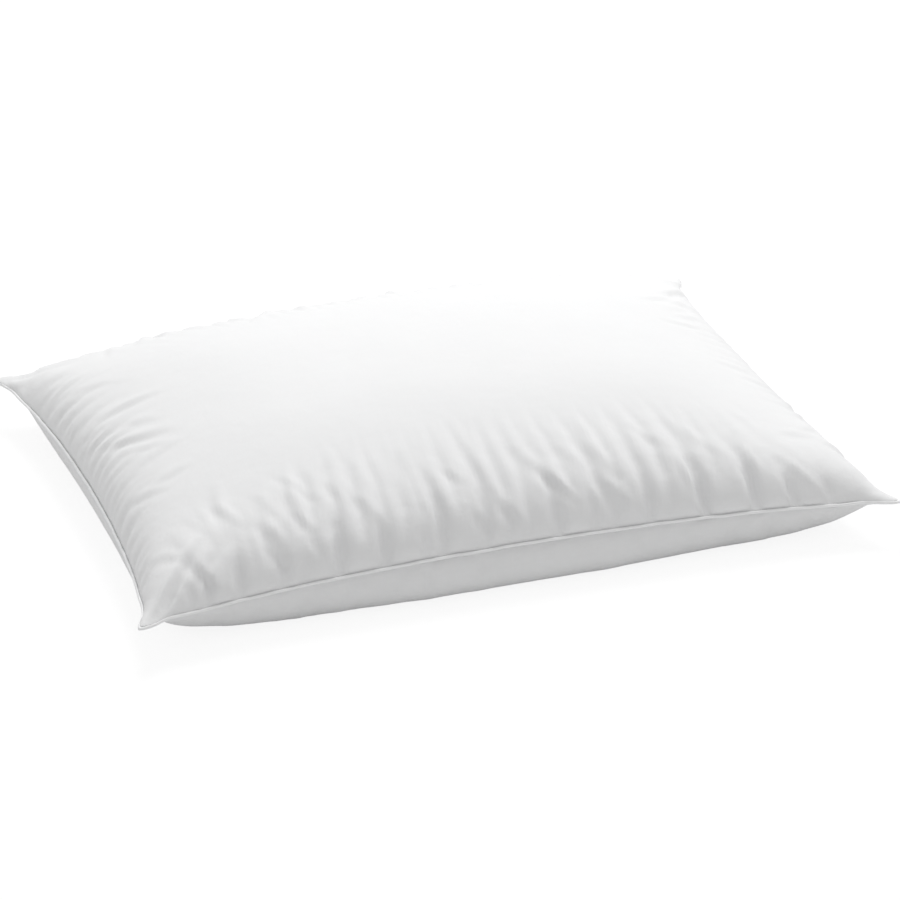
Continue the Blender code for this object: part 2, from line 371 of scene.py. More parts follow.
# %% Stiff corners and a slumped belly
CORNER_LIFT = 0.0105
CORNER_OUT = -0.0012        # along both sides, so below zero the point is drawn in
HOLLOW_LIFT = 0.010         # of the underside beside a corner, and half of that at the right end
HOLLOW_START = 0.02         # from the seam to where that lift is in full
TAB_FLATNESS = 0.62         # the part of its height that a corner's point loses
CROWN_RISE = 0.02           # for each metre above CROWN_START
CROWN_START = 0.05
SHOULDER_DROP = 0.021       # of the crown beside the right seam
SHOULDER_START = 0.10       # where that drop is in full
BACK_LEFT_DROP = 0.010
BACK_LEFT_START = 0.03      # from the seam to where that drop is in full
BELLY_OUT = (-0.001, 0.024)     # of the underside beside the short and the long seams
BELLY_INSIDE = 0.050            # the line of cloth that bulges most, in from the seam
BELLY_CORNER = 0.27             # no bulge at a corner, and all of it this far away
BELLY_START = 0.72              # it starts at this part of the way from the middle to a side
BELLY_WITHIN = 0.2              # and is in full this much further out
FILLED_HALF = (0.345, 0.245)    # half of the filled cover's length and depth
# how wide each bell curve is
LIFT_SPREAD = 0.09
OUT_SPREAD = 0.06
HOLLOW_SPREAD = 0.13
TAB_SPREAD = 0.050
SHOULDER_SPREAD = 0.12
BACK_LEFT_SPREAD = 0.16
BELLY_SPREAD = 0.035


def bell(distance, spread):
    """1 at no distance, then exp(-(distance / spread)^2)."""
    return np.exp(-(distance / spread) ** 2)


def shape_by_hand(places):
    """Adds bell curves of the distance from a corner or from a seam to the settled shape."""
    x, y = flat_places((places.shape[1] - 1, places.shape[2] - 1))
    to_corner = np.hypot(np.minimum(x, SEWN_LENGTH - x), np.minimum(y, SEWN_DEPTH - y))
    inside = to_seam(x, y)
    shaped = places.astype(float)
    shaped[..., 2] += CORNER_LIFT * bell(to_corner, LIFT_SPREAD)
    shaped[..., :2] += (CORNER_OUT * bell(to_corner, OUT_SPREAD))[..., None] * np.sign(shaped[..., :2])
    shaped[0, ..., 2] += CROWN_RISE * np.maximum(shaped[0, ..., 2] - CROWN_START, 0)
    from_right = SEWN_LENGTH - x
    drop = bell(from_right, SHOULDER_SPREAD) * np.sin(np.pi / 2 * np.clip(from_right / SHOULDER_START, 0, 1))
    shaped[0, ..., 2] -= SHOULDER_DROP * drop * np.sin(np.pi * y / SEWN_DEPTH)
    lower = BACK_LEFT_DROP * bell(np.hypot(x, SEWN_DEPTH - y), BACK_LEFT_SPREAD)
    shaped[0, ..., 2] -= lower * np.clip(inside / BACK_LEFT_START, 0, 1)
    height = shaped[..., 2]
    middle = height.mean(0)
    shaped[..., 2] = middle + (height - middle) * (1 - TAB_FLATNESS * bell(to_corner, TAB_SPREAD))
    hollow = bell(to_corner, HOLLOW_SPREAD) * np.clip(inside / HOLLOW_START, 0, 1)
    hollow = hollow * (1 - 0.5 * x / SEWN_LENGTH)
    shaped[1, ..., 2] += HOLLOW_LIFT * hollow
    slump = bell(inside - BELLY_INSIDE, BELLY_SPREAD) * np.clip(to_corner / BELLY_CORNER, 0, 1) ** 1.5
    for axis in (0, 1):
        part = shaped[1, ..., axis] / FILLED_HALF[axis]
        reached = np.clip((np.abs(part) - BELLY_START) / BELLY_WITHIN, 0, 1) * np.sign(part)
        shaped[1, ..., axis] += BELLY_OUT[axis] * slump * reached
    return shaped.astype(SINGLE)


cover = shape_by_hand(cover)
print("corners", np.round(cover[0, [0, -1], 0] * 1000, 1).tolist(), "mm")

# %% [markdown]
# ## Puckers
#
# The filling draws the long seams in by some 24 mm, but the cloth beside them is as wide as it was cut, and
# the needle has gathered it a little as well. The spare width has to go somewhere, so it stands up in small
# folds that start at the seam and fade out on the crown. They could be painted on, but folds that cloth
# makes by itself run into each other and share their width. So the filled shape is kept as a soft bed of
# feathers that the cloth is drawn back to, firmly on the crown and hardly at all at the seam. The cloth
# gets a few parts in a hundred of spare length near the seam, and its creases get a start where a maker
# would see them: at uneven distances, leaning, and longer on one side than on the other. Small sharp folds
# come last, because the threads would smooth them away: each stands up on one side and dips on the other,
# and a few run out of the corners.

# %% Where creases start
SHORT_SIDE_SHARE = 0.28     # the weft gives less than the warp
CREASE_EVERY = 0.024        # the mean distance from one large crease to the next
MEAN_LEAN = -0.30           # sideways for each metre in from the seam
LEAN_SPREAD = 0.35
LEAN_CHANGE = 0.4           # less lean at one end of a side than at the other
LONG_SIDES = ("front", "back")


def from_sides(x, y):
    """For each side: how far along it a flat place is, and how far in from it."""
    return {"front": (x, y), "back": (x, SEWN_DEPTH - y), "left": (y, x), "right": (y, SEWN_LENGTH - x)}


def crease(along, inside, place, lean, start, reach, width, depth):
    """A groove (depth < 0) or ridge whose middle leans: a bell curve across it, half a sine along it."""
    part = np.clip((inside - start) / reach, 0, 1)
    offset = along - place - lean * inside
    own_width = width * (0.6 + 0.8 * part)
    return depth * bell(offset, own_width) * np.sin(np.pi * part ** 0.7)


def chance_creases(rng, side_length, grain):
    """Creases at uneven distances along a side: place, lean, start, reach, width and depth. A grain of 1 is
    the largest size. Smaller ones lie closer together and lean in more different ways."""
    count = int(side_length / (CREASE_EVERY * grain))
    place = rng.uniform(0, side_length, count)
    lean = rng.normal(MEAN_LEAN, LEAN_SPREAD / grain ** 0.5, count)
    lean = lean - LEAN_CHANGE * (place / side_length - 0.5)
    start = rng.uniform(0.0, 0.060, count)
    reach = rng.uniform(0.025, 0.090, count) * (0.25 + 0.75 * grain)
    width = rng.uniform(0.004, 0.010, count) * (0.4 + 0.6 * grain)
    depth = rng.normal(-0.0012, 0.0034, count) * (0.3 + 0.7 * grain)
    return zip(place, lean, start, reach, width, depth)


# side, metres along it, lean, start, reach, width, depth
CHOSEN_CREASES = (
    ("front", 0.148, -0.3, 0.02, 0.06, 0.006, -0.005), ("front", 0.166, -0.25, 0.03, 0.05, 0.005, 0.003),
    ("front", 0.186, -0.2, 0.01, 0.065, 0.006, -0.005), ("front", 0.24, 0.15, 0.01, 0.06, 0.008, -0.0045),
    ("front", 0.318, -0.1, 0.0, 0.03, 0.004, -0.003), ("front", 0.343, -0.35, 0.0, 0.09, 0.006, -0.0045),
    ("front", 0.362, 0.05, 0.0, 0.028, 0.004, -0.003), ("front", 0.409, -0.45, 0.03, 0.08, 0.007, -0.005),
    ("front", 0.445, -0.5, 0.035, 0.08, 0.008, -0.005), ("front", 0.528, -0.1, 0.0, 0.03, 0.004, -0.003),
    ("front", 0.552, -0.55, 0.03, 0.08, 0.008, -0.0055), ("front", 0.563, 0.1, 0.0, 0.025, 0.004, -0.003),
    ("front", 0.612, -0.8, 0.008, 0.075, 0.008, -0.0065), ("front", 0.628, -0.9, 0.004, 0.07, 0.006, 0.004),
    ("front", 0.645, -0.9, 0.01, 0.06, 0.006, -0.004), ("front", 0.664, -0.95, 0.006, 0.05, 0.005, 0.003),
    ("left", 0.455, -0.55, 0.0, 0.055, 0.007, -0.005), ("left", 0.4, 0.3, 0.0, 0.06, 0.008, -0.005),
    ("left", 0.266, 0.05, 0.0, 0.07, 0.008, -0.0055), ("left", 0.182, 0.15, 0.0, 0.075, 0.008, -0.0055),
    ("left", 0.09, 0.6, 0.0, 0.06, 0.006, -0.0045), ("front", 0.028, 0.75, 0.0, 0.06, 0.006, -0.005))
# the same numbers for the folds that run diagonally out of a corner
CORNER_FOLDS = (
    ("front", 0.002, 1.0, 0.006, 0.06, 0.0042, 0.0036), ("front", 0.013, 1.0, 0.006, 0.055, 0.0042, -0.0034),
    ("front", 0.03, 1.2, 0.012, 0.05, 0.006, -0.0014), ("back", -0.004, 1.0, 0.008, 0.06, 0.005, -0.0024),
    ("back", 0.012, 1.1, 0.01, 0.055, 0.005, 0.002), ("back", 0.696, -1.0, 0.008, 0.05, 0.005, -0.002))
# a sharp fold's lean, start, reach, width and size: the least, and what chance can add to it
SHARP_FOLD_RANGES = ((-0.80, 0.9), (0.008, 0.055), (0.025, 0.040), (0.0045, 0.004), (0.0014, 0.0026))
SHARP_FOLDS_LONG = 64       # on a long side
SHARP_FOLDS_SHORT = 18      # on a short side
CLEAR_OF_CORNERS = 0.06


def sharp_folds(cells, seed):
    """Folds that stand up on one side and dip on the other: offset * exp(-offset^2), offset in widths."""
    x, y = flat_places(cells)
    rng = np.random.default_rng(seed)
    height = np.zeros(x.shape)
    for side, (along, inside) in from_sides(x, y).items():
        is_long = side in LONG_SIDES
        length = SEWN_LENGTH if is_long else SEWN_DEPTH
        count = SHARP_FOLDS_LONG if is_long else SHARP_FOLDS_SHORT
        spots = rng.uniform(CLEAR_OF_CORNERS, length - CLEAR_OF_CORNERS, count)
        for place, chance in zip(spots, rng.uniform(size=(count, 5))):
            chance[4] = chance[4] ** 2      # most of them are small
            numbers = [least + more * share for (least, more), share in zip(SHARP_FOLD_RANGES, chance)]
            lean, start, reach, width, size = numbers
            lean = lean - LEAN_CHANGE * (place / length - 0.5)
            part = np.clip((inside - start) / reach, 0, 1)
            offset = (along - place - lean * inside) / width
            height += size * offset * np.exp(-offset ** 2) * np.sin(np.pi * part ** 0.8)
    for side, *numbers in CORNER_FOLDS:
        height += crease(*from_sides(x, y)[side], *numbers)
    return height


def first_creases(cells, seed, grain):
    """How far each point of both layers starts in or out along the cloth's normal, in metres."""
    x, y = flat_places(cells)
    sides = from_sides(x, y)
    offset = np.zeros((2,) + x.shape)
    for layer in (0, 1):
        rng = np.random.default_rng(seed + layer)
        for side, (along, inside) in sides.items():
            length, share = (SEWN_LENGTH, 1.0) if side in LONG_SIDES else (SEWN_DEPTH, SHORT_SIDE_SHARE)
            for numbers in chance_creases(rng, length, grain):
                offset[layer] += crease(along, inside, *numbers) * share
    for side, *numbers in CHOSEN_CREASES:
        offset[0] += crease(*sides[side], *numbers) * grain ** 2
    return offset


print(len(CHOSEN_CREASES), "creases and", len(CORNER_FOLDS), "corner folds placed by hand")

# %% [markdown]
# The same thread corrections do the work again, with two changes: each piece of thread has its own length,
# and each point is drawn back to the bed. Patches of smooth noise make the spare length uneven, as a
# machine's feed and the lumps of down do.

# %% Let the cloth pucker
BED_PRESSURE = 12.0
BED_SPEED_KEPT = 0.95
BED_PACE = 0.002            # seconds in a step
BED_FIRMNESS = (1.0, 0.1, 0.2)  # push, slant and bend: spare thread has to stand up, not to shorten
SEAM_GIVE = 0.02            # how easily the sewn edge moves, where free cloth has 1
SEAM_GRIP = 0.15            # of the bed on the cloth beside a seam, where the crown has 1
CROWN_FROM = 0.12           # from a seam to where the grip is in full
LYING = 0.0015              # cloth below this height lies on the floor and is held by it
SPARE_SHARE = (1.0, 0.25)   # of the upper and the lower cloth: the weight on the lower one keeps it smooth
SPARE_ALONG = 0.3           # the part of its spare length that a seam also gives the threads beside it
LARGE_PATCHES = 0.8         # how uneven the spare length is from patch to patch
SMALL_PATCHES = 0.6         # and within a patch, at a third of its size
FINEST_CELL = 0.10 / 30
PUCKER_SEED = 5
FOLD_SEED = 11


def patches(rng, cells, size):
    """Smooth noise with a spread of 1: white noise with waves shorter than the patch size damped away."""
    along, across = cell_sides(cells)
    waves_x = np.fft.fftfreq(cells[0] + 1, along)[:, None]
    waves_y = np.fft.fftfreq(cells[1] + 1, across)[None]
    damping = np.exp(-4 * size**2 * (waves_x**2 + waves_y**2))
    noise = np.real(np.fft.ifft2(np.fft.fft2(rng.normal(size=damping.shape)) * damping))
    return noise / noise.std()


def unit(vectors):
    """Each vector divided by its length."""
    return vectors / np.linalg.norm(vectors, axis=-1, keepdims=True)


def normals_of(layer):
    """The unit normals of one layer, from its slopes along both threads."""
    return unit(np.cross(np.gradient(layer, axis=0), np.gradient(layer, axis=1)))


def spare_length(places, rng, cells, spare, reach, size):
    """Rest lengths: today's lengths, longer by spare near the seams that the threads run into or along."""
    x, y = flat_places(cells)
    near_long = np.exp(-(np.minimum(y, SEWN_DEPTH - y) / reach) ** 1.5)
    near_short = SHORT_SIDE_SHARE * np.exp(-(np.minimum(x, SEWN_LENGTH - x) / reach) ** 1.5)
    warp, weft = [], []
    for layer, share in zip(places, SPARE_SHARE):
        uneven = []
        for _ in ("warp", "weft"):
            mixed = 1 + LARGE_PATCHES * patches(rng, cells, size)
            mixed = mixed + SMALL_PATCHES * patches(rng, cells, size / 3)
            uneven.append(share * np.clip(mixed, 0, 3))
        more_warp = spare * near_long * uneven[0] + SPARE_ALONG * spare * near_short * uneven[1]
        more_weft = spare * near_short * uneven[1] + SPARE_ALONG * spare * near_long * uneven[0]
        warp_length = np.linalg.norm(np.diff(layer, axis=0), axis=-1)
        weft_length = np.linalg.norm(np.diff(layer, axis=1), axis=-1)
        warp.append(warp_length * (1 + (more_warp[1:] + more_warp[:-1]) / 2))
        weft.append(weft_length * (1 + (more_weft[:, 1:] + more_weft[:, :-1]) / 2))
    return np.array(warp, SINGLE), np.array(weft, SINGLE)


def pucker(places, bed, cells, seed, steps, spare, reach, size, hold, grain):
    """Relaxes the cloth on its bed of filling, with spare length near the seams and creases to start from."""
    rng = np.random.default_rng(seed)
    inside = to_seam(*flat_places(cells))
    rest = spare_length(places, rng, cells, spare, reach, size)
    free = np.ones(places.shape[:3] + (1,), SINGLE)
    for edge in EDGES:
        free[(ALL,) + edge] = SEAM_GIVE
    free[1][bed[1, ..., 2] < LYING] = 0
    start = first_creases(cells, seed, grain) * np.reshape(SPARE_SHARE, (2, 1, 1))
    for layer in (0, 1):
        outward = normals_of(bed[layer]) * (1 if layer == 0 else -1)
        places[layer] += (start[layer][..., None] * outward * free[layer]).astype(SINGLE)
    grip = hold * (SEAM_GRIP + (1 - SEAM_GRIP) * np.clip(inside / CROWN_FROM, 0, 1) ** 1.5)
    grip = grip[None, ..., None].astype(SINGLE)
    along, across = cell_sides(cells)
    mass = CLOTH_WEIGHT * along * across
    speed = np.zeros_like(places)
    for _ in range(steps):
        area = outward_areas(places)[0]
        speed += area * SINGLE(BED_PRESSURE / mass * BED_PACE)
        speed *= SINGLE(BED_SPEED_KEPT)
        before = places.copy()
        places += speed * SINGLE(BED_PACE) * free
        places += grip * (bed - places)
        for _ in range(4):
            correct_threads(places, rest, free, *BED_FIRMNESS)
            sew(places)
        places[..., 2] = np.maximum(places[..., 2], 0)
        speed = (places - before) / SINGLE(BED_PACE)
    return places


bed = cover.copy()
# cell size, steps, spare length, its reach from the seam, patch size, the bed's hold, grain of the creases
for size, steps, spare, reach, patch, hold, grain in ((0.010, 120, 0.045, 0.075, 0.060, 0.05, 1.0),
                                                      (0.005, 80, 0.030, 0.060, 0.025, 0.03, 0.55),
                                                      (FINEST_CELL, 40, 0.020, 0.050, 0.012, 0.02, 0.30)):
    cells = cells_of(size)
    cover, bed = finer(cover, cells), finer(bed, cells)
    cover = pucker(cover, bed, cells, PUCKER_SEED + cells[0], steps, spare, reach, patch, hold, grain)
    print(f"cells of {size * 1000:.1f} mm: folds up to {np.abs(cover - bed).max() * 1000:.1f} mm")
cover[0] += (sharp_folds(cells, FOLD_SEED)[..., None] * normals_of(bed[0])).astype(SINGLE)

# %% [markdown]
# ## The seam line
#
# Everything that is sewn follows one line: the fold where the two panels meet. It is read once round the
# edge of the grid, front, right, back and left. A piped seam can't turn on a point, because the piping has
# its own thickness, so the line is smoothed until a corner turns in about 3 mm. Smoothing a closed line is
# one product of its waves with a bell curve. Away from the corners the seam's six layers are too stiff to
# follow every pucker, so there the line is smoothed over 3 cm and stands out 2 mm from the walls. The
# piping also gives it small kinks, where the needle took up slack.

# %% Read the line round the edge
CORNER_ROUNDING = 0.0016
SIDE_SMOOTHING = 0.030      # of the stiff seam, between the corners
STIFF_FROM = 0.020          # from a corner to where the seam starts to be stiff
STIFF_WITHIN = 0.030        # and from there to where it is fully stiff
SEAM_PROUD = 0.0020         # how far the seam stands out from the walls beside it
KINK_HEIGHT = 0.00012
KINK_SIZE = 0.0035
KINK_SEED = 8


def round_the_edge(grid):
    """The edge of a grid as one closed loop: front, right, back, left, each without its last point."""
    return np.concatenate([grid[:-1, 0], grid[-1, :-1], grid[:0:-1, -1], grid[0, :0:-1]])


def damped(values, damping):
    """A closed row of values with each of its waves made smaller."""
    return np.real(np.fft.ifft(np.fft.fft(values, axis=0) * damping[:, None], axis=0))


def smooth_loop(loop, distance, size, spacing=0.0008):
    """Even points on a closed loop with its short waves damped: each times exp(-(wave * size)^2 / 2)."""
    total = distance[-1]
    even = np.arange(0, total, spacing)
    closed = np.concatenate([loop, loop[:1]])
    points = np.stack([np.interp(even, distance, closed[:, k]) for k in range(closed.shape[1])], -1)
    damping = np.exp(-0.5 * (2 * np.pi * np.fft.fftfreq(len(even), total / len(even)) * size) ** 2)
    return even, damped(points, damping)


def read_loop(even, points, where):
    """The loop's points at these distances along it."""
    total = even[-1] + even[1]
    closed = np.concatenate([points, points[:1]])
    along = np.append(even, total)
    return np.stack([np.interp(where % total, along, closed[:, k]) for k in range(points.shape[1])], -1)


def distance_along(path):
    """How far along a path each of its points is."""
    return np.concatenate([[0], np.cumsum(np.linalg.norm(np.diff(path, axis=0), axis=1))])


cells = cells_of(FINEST_CELL)
x, y = flat_places(cells)
turned_in = np.stack([x / SEWN_LENGTH * 2 - 1, y / SEWN_DEPTH * 2 - 1], -1)
edge_line = round_the_edge(cover[0].astype(float))
edge_distance = distance_along(np.concatenate([edge_line, edge_line[:1]]))
# each point of the loop: its place, and the direction (u, v, 0) that leads straight out of the seam
edge_values = np.concatenate([edge_line, round_the_edge(turned_in)], 1)
edge_even, edge_points = smooth_loop(edge_values, edge_distance, CORNER_ROUNDING)
stiff_points = smooth_loop(edge_values, edge_distance, SIDE_SMOOTHING)[1]
corner_distance = edge_distance[[0, cells[0], cells[0] + cells[1], 2 * cells[0] + cells[1], -1]]
from_corner = np.abs(edge_even[:, None] - corner_distance[None]).min(1)
stiff_share = np.clip((from_corner - STIFF_FROM) / STIFF_WITHIN, 0, 1)[:, None]
edge_points[:, :3] += (stiff_points[:, :3] - edge_points[:, :3]) * stiff_share
edge_points[:, :2] += SEAM_PROUD * edge_points[:, 3:]
SEAM_LENGTH = edge_distance[-1]
kinks = np.random.default_rng(KINK_SEED).normal(size=(len(edge_even), 2))
kink_waves = 2 * np.pi * np.abs(np.fft.fftfreq(len(edge_even), edge_even[1]))
kinks = damped(kinks, np.exp(-(kink_waves * KINK_SIZE) ** 2))
kinks *= KINK_HEIGHT / kinks.std()
edge_points[:, 2] += kinks[:, 0]
edge_points[:, :2] += kinks[:, 1:] * edge_points[:, 3:]
print(f"seam {SEAM_LENGTH:.3f} m round, {edge_points[:, 2].min() * 1000:.0f} to "
      f"{edge_points[:, 2].max() * 1000:.0f} mm above the floor")

# %% [markdown]
# ## From numbers to pieces
#
# Every new piece is put into Blender by one helper: points, faces and a map of the flat cloth in metres.
# The map is kept as a UV map, because a weave has to follow the cloth and not the room. The helper also
# says which CAD nodes the piece stands for and which body it rides on.

# %% Put a surface into the scene
def make_piece(name, points, faces, cloth_map, nodes, extra=None):
    """A mesh object from arrays: points (n, 3), quads (m, 4) and a map position (n, 2) or (m, 4, 2)."""
    mesh = bpy.data.meshes.new(name)
    mesh.from_pydata(np.asarray(points, float).tolist(), [], np.asarray(faces).tolist())
    mesh.update()
    corner_points = np.empty(len(mesh.loops), int)
    mesh.loops.foreach_get("vertex_index", corner_points)
    on_corners = cloth_map[corner_points] if cloth_map.ndim == 2 else cloth_map.reshape(-1, 2)
    mesh.uv_layers.new(name="cloth").data.foreach_set("uv", on_corners.astype(SINGLE).ravel())
    for attribute, values in (extra or {}).items():
        layer = mesh.attributes.new(attribute, "FLOAT", "POINT")
        layer.data.foreach_set("value", np.asarray(values, SINGLE))
    mesh.polygons.foreach_set("use_smooth", np.ones(len(mesh.polygons), bool))
    piece = bpy.data.objects.new(name, mesh)
    bpy.context.scene.collection.objects.link(piece)
    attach(piece, "root")
    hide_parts(*nodes)
    print(f"{name}: {len(points)} points, {len(mesh.polygons)} faces")
    return piece


def add_modifier(piece, kind, **settings):
    """A modifier with its settings, the same in the view and in the render."""
    modifier = piece.modifiers.new(kind.lower(), kind)
    for setting, value in settings.items():
        setattr(modifier, setting, value)
    return modifier


def grid_faces(rows, columns, close_rows=False, close_columns=False):
    """The quads of a grid numbered row by row. A closed grid joins its last row or column to its first."""
    i = np.arange(rows if close_rows else rows - 1)[:, None]
    j = np.arange(columns if close_columns else columns - 1)[None]
    down, right = (i + 1) % rows, (j + 1) % columns
    quads = np.stack([i * columns + j, down * columns + j, down * columns + right, i * columns + right], -1)
    return quads.reshape(-1, 4)


# %% [markdown]
# ## The two panels
#
# The ticking of a feather pillow is a cotton woven so close that no quill comes through. Each panel is one
# cloth from turned-in edge to turned-in edge: it comes down the wall, folds sharply at the seam, and its
# allowance lies inside on the piping's flange. So a panel is the settled grid plus rings of points that
# lead inwards. Between the walls near the seam there has to be room for these layers, so the two panels are
# held apart there by at least their thickness, which also makes the flat tabs at the corners. Solidify then
# gives the cloth its thickness, on the inner side.

# %% Room for the seam's layers
TICKING = 0.00035           # thickness of the cloth
HALF_STACK = 0.00085        # from the seam's middle plane to a panel's turned-in edge
INNER_ROOM = 0.00230        # the same to the wall's outer face, where it lies over its own allowance
ROOM_WITHIN = 0.004         # from the fold to where the wall has all of its room
PARTED_WITHIN = 0.020       # the walls are parted in full to half of this, and not at all past 1.5 of it


def part_layers(places, x, y):
    """Half the height between the layers is sqrt(half^2 + least^2), so it is never less than the stack."""
    inside = to_seam(x, y)
    growth = np.clip(inside / ROOM_WITHIN, 0, 1)
    fade = np.clip(1.5 - inside / PARTED_WITHIN, 0, 1)
    least = (HALF_STACK + (INNER_ROOM - HALF_STACK) * growth) * fade
    middle = (places[0, ..., 2] + places[1, ..., 2]) / 2
    half = (places[0, ..., 2] - places[1, ..., 2]) / 2
    half = np.where(fade > 0, np.sqrt(np.maximum(half, 0) ** 2 + least ** 2), half)
    parted = places.copy()
    parted[0, ..., 2] = middle + half
    parted[1, ..., 2] = np.maximum(middle - half, 0)
    return parted


FOLLOWING = (1.0, 0.82, 0.58, 0.34, 0.16, 0.06)     # how far the next rows of the wall follow the stiff seam

walls = cover.astype(float)
ring = read_loop(edge_even, edge_points, edge_distance[:-1])
edge_index = round_the_edge(np.arange(x.size).reshape(x.shape))
edge_places = np.stack(np.unravel_index(edge_index, x.shape))
last_place = np.reshape(x.shape, (2, 1)) - 1
inside_index = [np.clip(edge_places, k, last_place - k) for k in range(len(FOLLOWING))]
moved = ring[:, :3] - edge_line
for layer in (0, 1):
    for k, (i, j) in enumerate(inside_index):
        walls[layer][i, j] = cover[layer][i, j] + moved * FOLLOWING[k]
    walls[layer].reshape(-1, 3)[edge_index] = ring[:, :3]
walls = part_layers(walls, x, y)
# the next rows of each wall keep clear of the stiff seam's layers, wherever the smoothing has moved it
for i, j in inside_index[1:5]:
    walls[0][i, j, 2] = np.maximum(walls[0][i, j, 2], ring[:, 2] + INNER_ROOM)
    walls[1][i, j, 2] = np.minimum(walls[1][i, j, 2], ring[:, 2] - INNER_ROOM)
print("walls apart at the edge by", np.round(np.ptp(walls[:, 0, 0, 2]) * 1000, 2), "mm")

# %% [markdown]
# The rings leave the edge straight inwards. Their direction is the place on the edge measured from the
# middle, with the sides at 1: in the middle of a side that is square to the seam, and at a corner it is the
# diagonal, so the allowance of two sides meets in a mitre instead of crossing.

# %% Make a panel
# each ring's way out from the seam line and up from its middle plane: the wall comes down over the piping,
# and the allowance leads back inside
RINGS = ((-0.00010, 0.00160), (0.00028, 0.00112), (0.00016, 0.00097),
         (0.0, HALF_STACK), (-0.0012, HALF_STACK), (-0.0040, HALF_STACK),
         (-0.0070, HALF_STACK), (-SEAM_ALLOWANCE, HALF_STACK))
FOLD_CLOTH = 0.0012         # cloth in the fold, from the wall's edge to the seam line


def make_panel(name, layer, rests):
    """The settled grid with its edge turned in: ring = edge + out * (u, v, 0) + up * Z."""
    side = 1 if layer == 0 else -1
    outward = np.column_stack([ring[:, 3:], np.zeros(len(ring))])
    rings = [ring[:, :3] + out * outward + np.array([0, 0, side * up]) for out, up in RINGS]
    grid = walls[layer].reshape(-1, 3).copy()
    grid[edge_index] = rings.pop(0)
    points = np.concatenate([grid] + rings)
    count, grid_count = len(ring), x.size
    starts = np.concatenate([edge_index[None], grid_count + np.arange(len(rings) * count).reshape(-1, count)])
    following = np.roll(starts, -1, 1)
    strip = np.stack([starts[:-1], starts[1:], following[1:], following[:-1]], -1).reshape(-1, 4)
    faces = np.concatenate([grid_faces(*x.shape), strip])
    if layer == 1:
        faces = faces[:, ::-1]
    flat = np.stack([x, y], -1).reshape(-1, 2)
    flat_edge = flat[edge_index]
    square_out = np.sign(ring[:, 3:]) * (np.abs(ring[:, 3:]) > 0.999)
    beyond = [flat_edge + (FOLD_CLOTH - out) * square_out for out, up in RINGS[1:]]
    flat = np.concatenate([flat] + beyond)
    from_seam = np.maximum(to_seam(*flat.T), 0)
    panel = make_piece(name, points, faces, flat, [rests], {"from_seam": from_seam})
    add_modifier(panel, "SOLIDIFY", thickness=TICKING, offset=-1.0, use_even_offset=False)
    return panel


top_panel = make_panel("top_cloth", 0, "top_panel")
bottom_panel = make_panel("bottom_cloth", 1, "bottom_panel")

# %% [markdown]
# ## The piping
#
# A strip of the same cotton, cut on the bias so that it can turn corners, is folded round a soft cord, and
# its two edges are sewn into the seam as a flange. Only the round part shows. It is one closed outline
# carried along the seam line: out along the flange's top, round the cord, back along its bottom, and the
# same on the inside at the strip's thickness.

# %% Carry outlines along the seam
PIPING_RADIUS = 0.0014
PIPING_SPACING = 0.0019     # from one outline to the next
STRIP_GIRTH = 0.030         # round the strip's outline, for its cloth map
PIPING_OUT = 0.00152        # the cord's middle, outside the fold
STRIP = 0.0004              # thickness of the bias strip
FLANGE_GAP = 0.00015        # half of the slot between the flange's two layers


def seam_frame(spacing):
    """Even places along the seam: distance, place, and the outward direction."""
    count = int(SEAM_LENGTH / spacing)
    distance = np.arange(count) * SEAM_LENGTH / count
    found = read_loop(edge_even, edge_points, distance)
    outward = np.column_stack([found[:, 3:], np.zeros(count)])
    return distance, found[:, :3], outward


def carry(outline, spacing):
    """Points[s, k] = seam(s) + out[k] * outward(s) + up[k] * Z. The outline is (k, 2) or changes with s."""
    distance, seam, outward = seam_frame(spacing)
    outline = np.broadcast_to(outline, (len(seam),) + np.shape(outline)[-2:])
    points = seam[:, None] + outline[..., :1] * outward[:, None] + outline[..., 1:] * np.array([0, 0, 1.0])
    return distance, points


def signed_volume(points, quads):
    """The volume inside a closed surface of quads: tetrahedra added up, negative if faces look inwards."""
    a, b, c, d = [points[quads[:, k]] for k in range(4)]
    one, other = [np.einsum("ij,ij->i", a, normal) for normal in (np.cross(b, c), np.cross(c, d))]
    return float((one + other).sum() / 6)


def unwrapped(numbers, count):
    """Row or column numbers of faces' corners, where a face that closes a ring ends on count, not on 0."""
    closes = (numbers == 0) & (numbers.max(1, keepdims=True) == count - 1)
    return np.where(closes, count, numbers)


def make_tube(name, points, faces, u, v, nodes):
    """A closed piece with a map (u, v) at its faces' corners. Faces that look inwards are turned over."""
    if signed_volume(points, faces) < 0:
        faces, u, v = faces[:, ::-1], u[:, ::-1], v[:, ::-1]
    return make_piece(name, points, faces, np.stack([u, v], -1), nodes)


def closed_tube(name, distance, points, nodes, around):
    """A ring-shaped surface: the outline is closed, and so is its way along the seam. around is its girth."""
    rows, columns = points.shape[:2]
    faces = grid_faces(rows, columns, True, True)
    u = np.append(distance, SEAM_LENGTH)[unwrapped(faces // columns, rows)]
    v = unwrapped(faces % columns, columns) / columns * around
    return make_tube(name, points.reshape(-1, 3), faces, u, v, nodes)


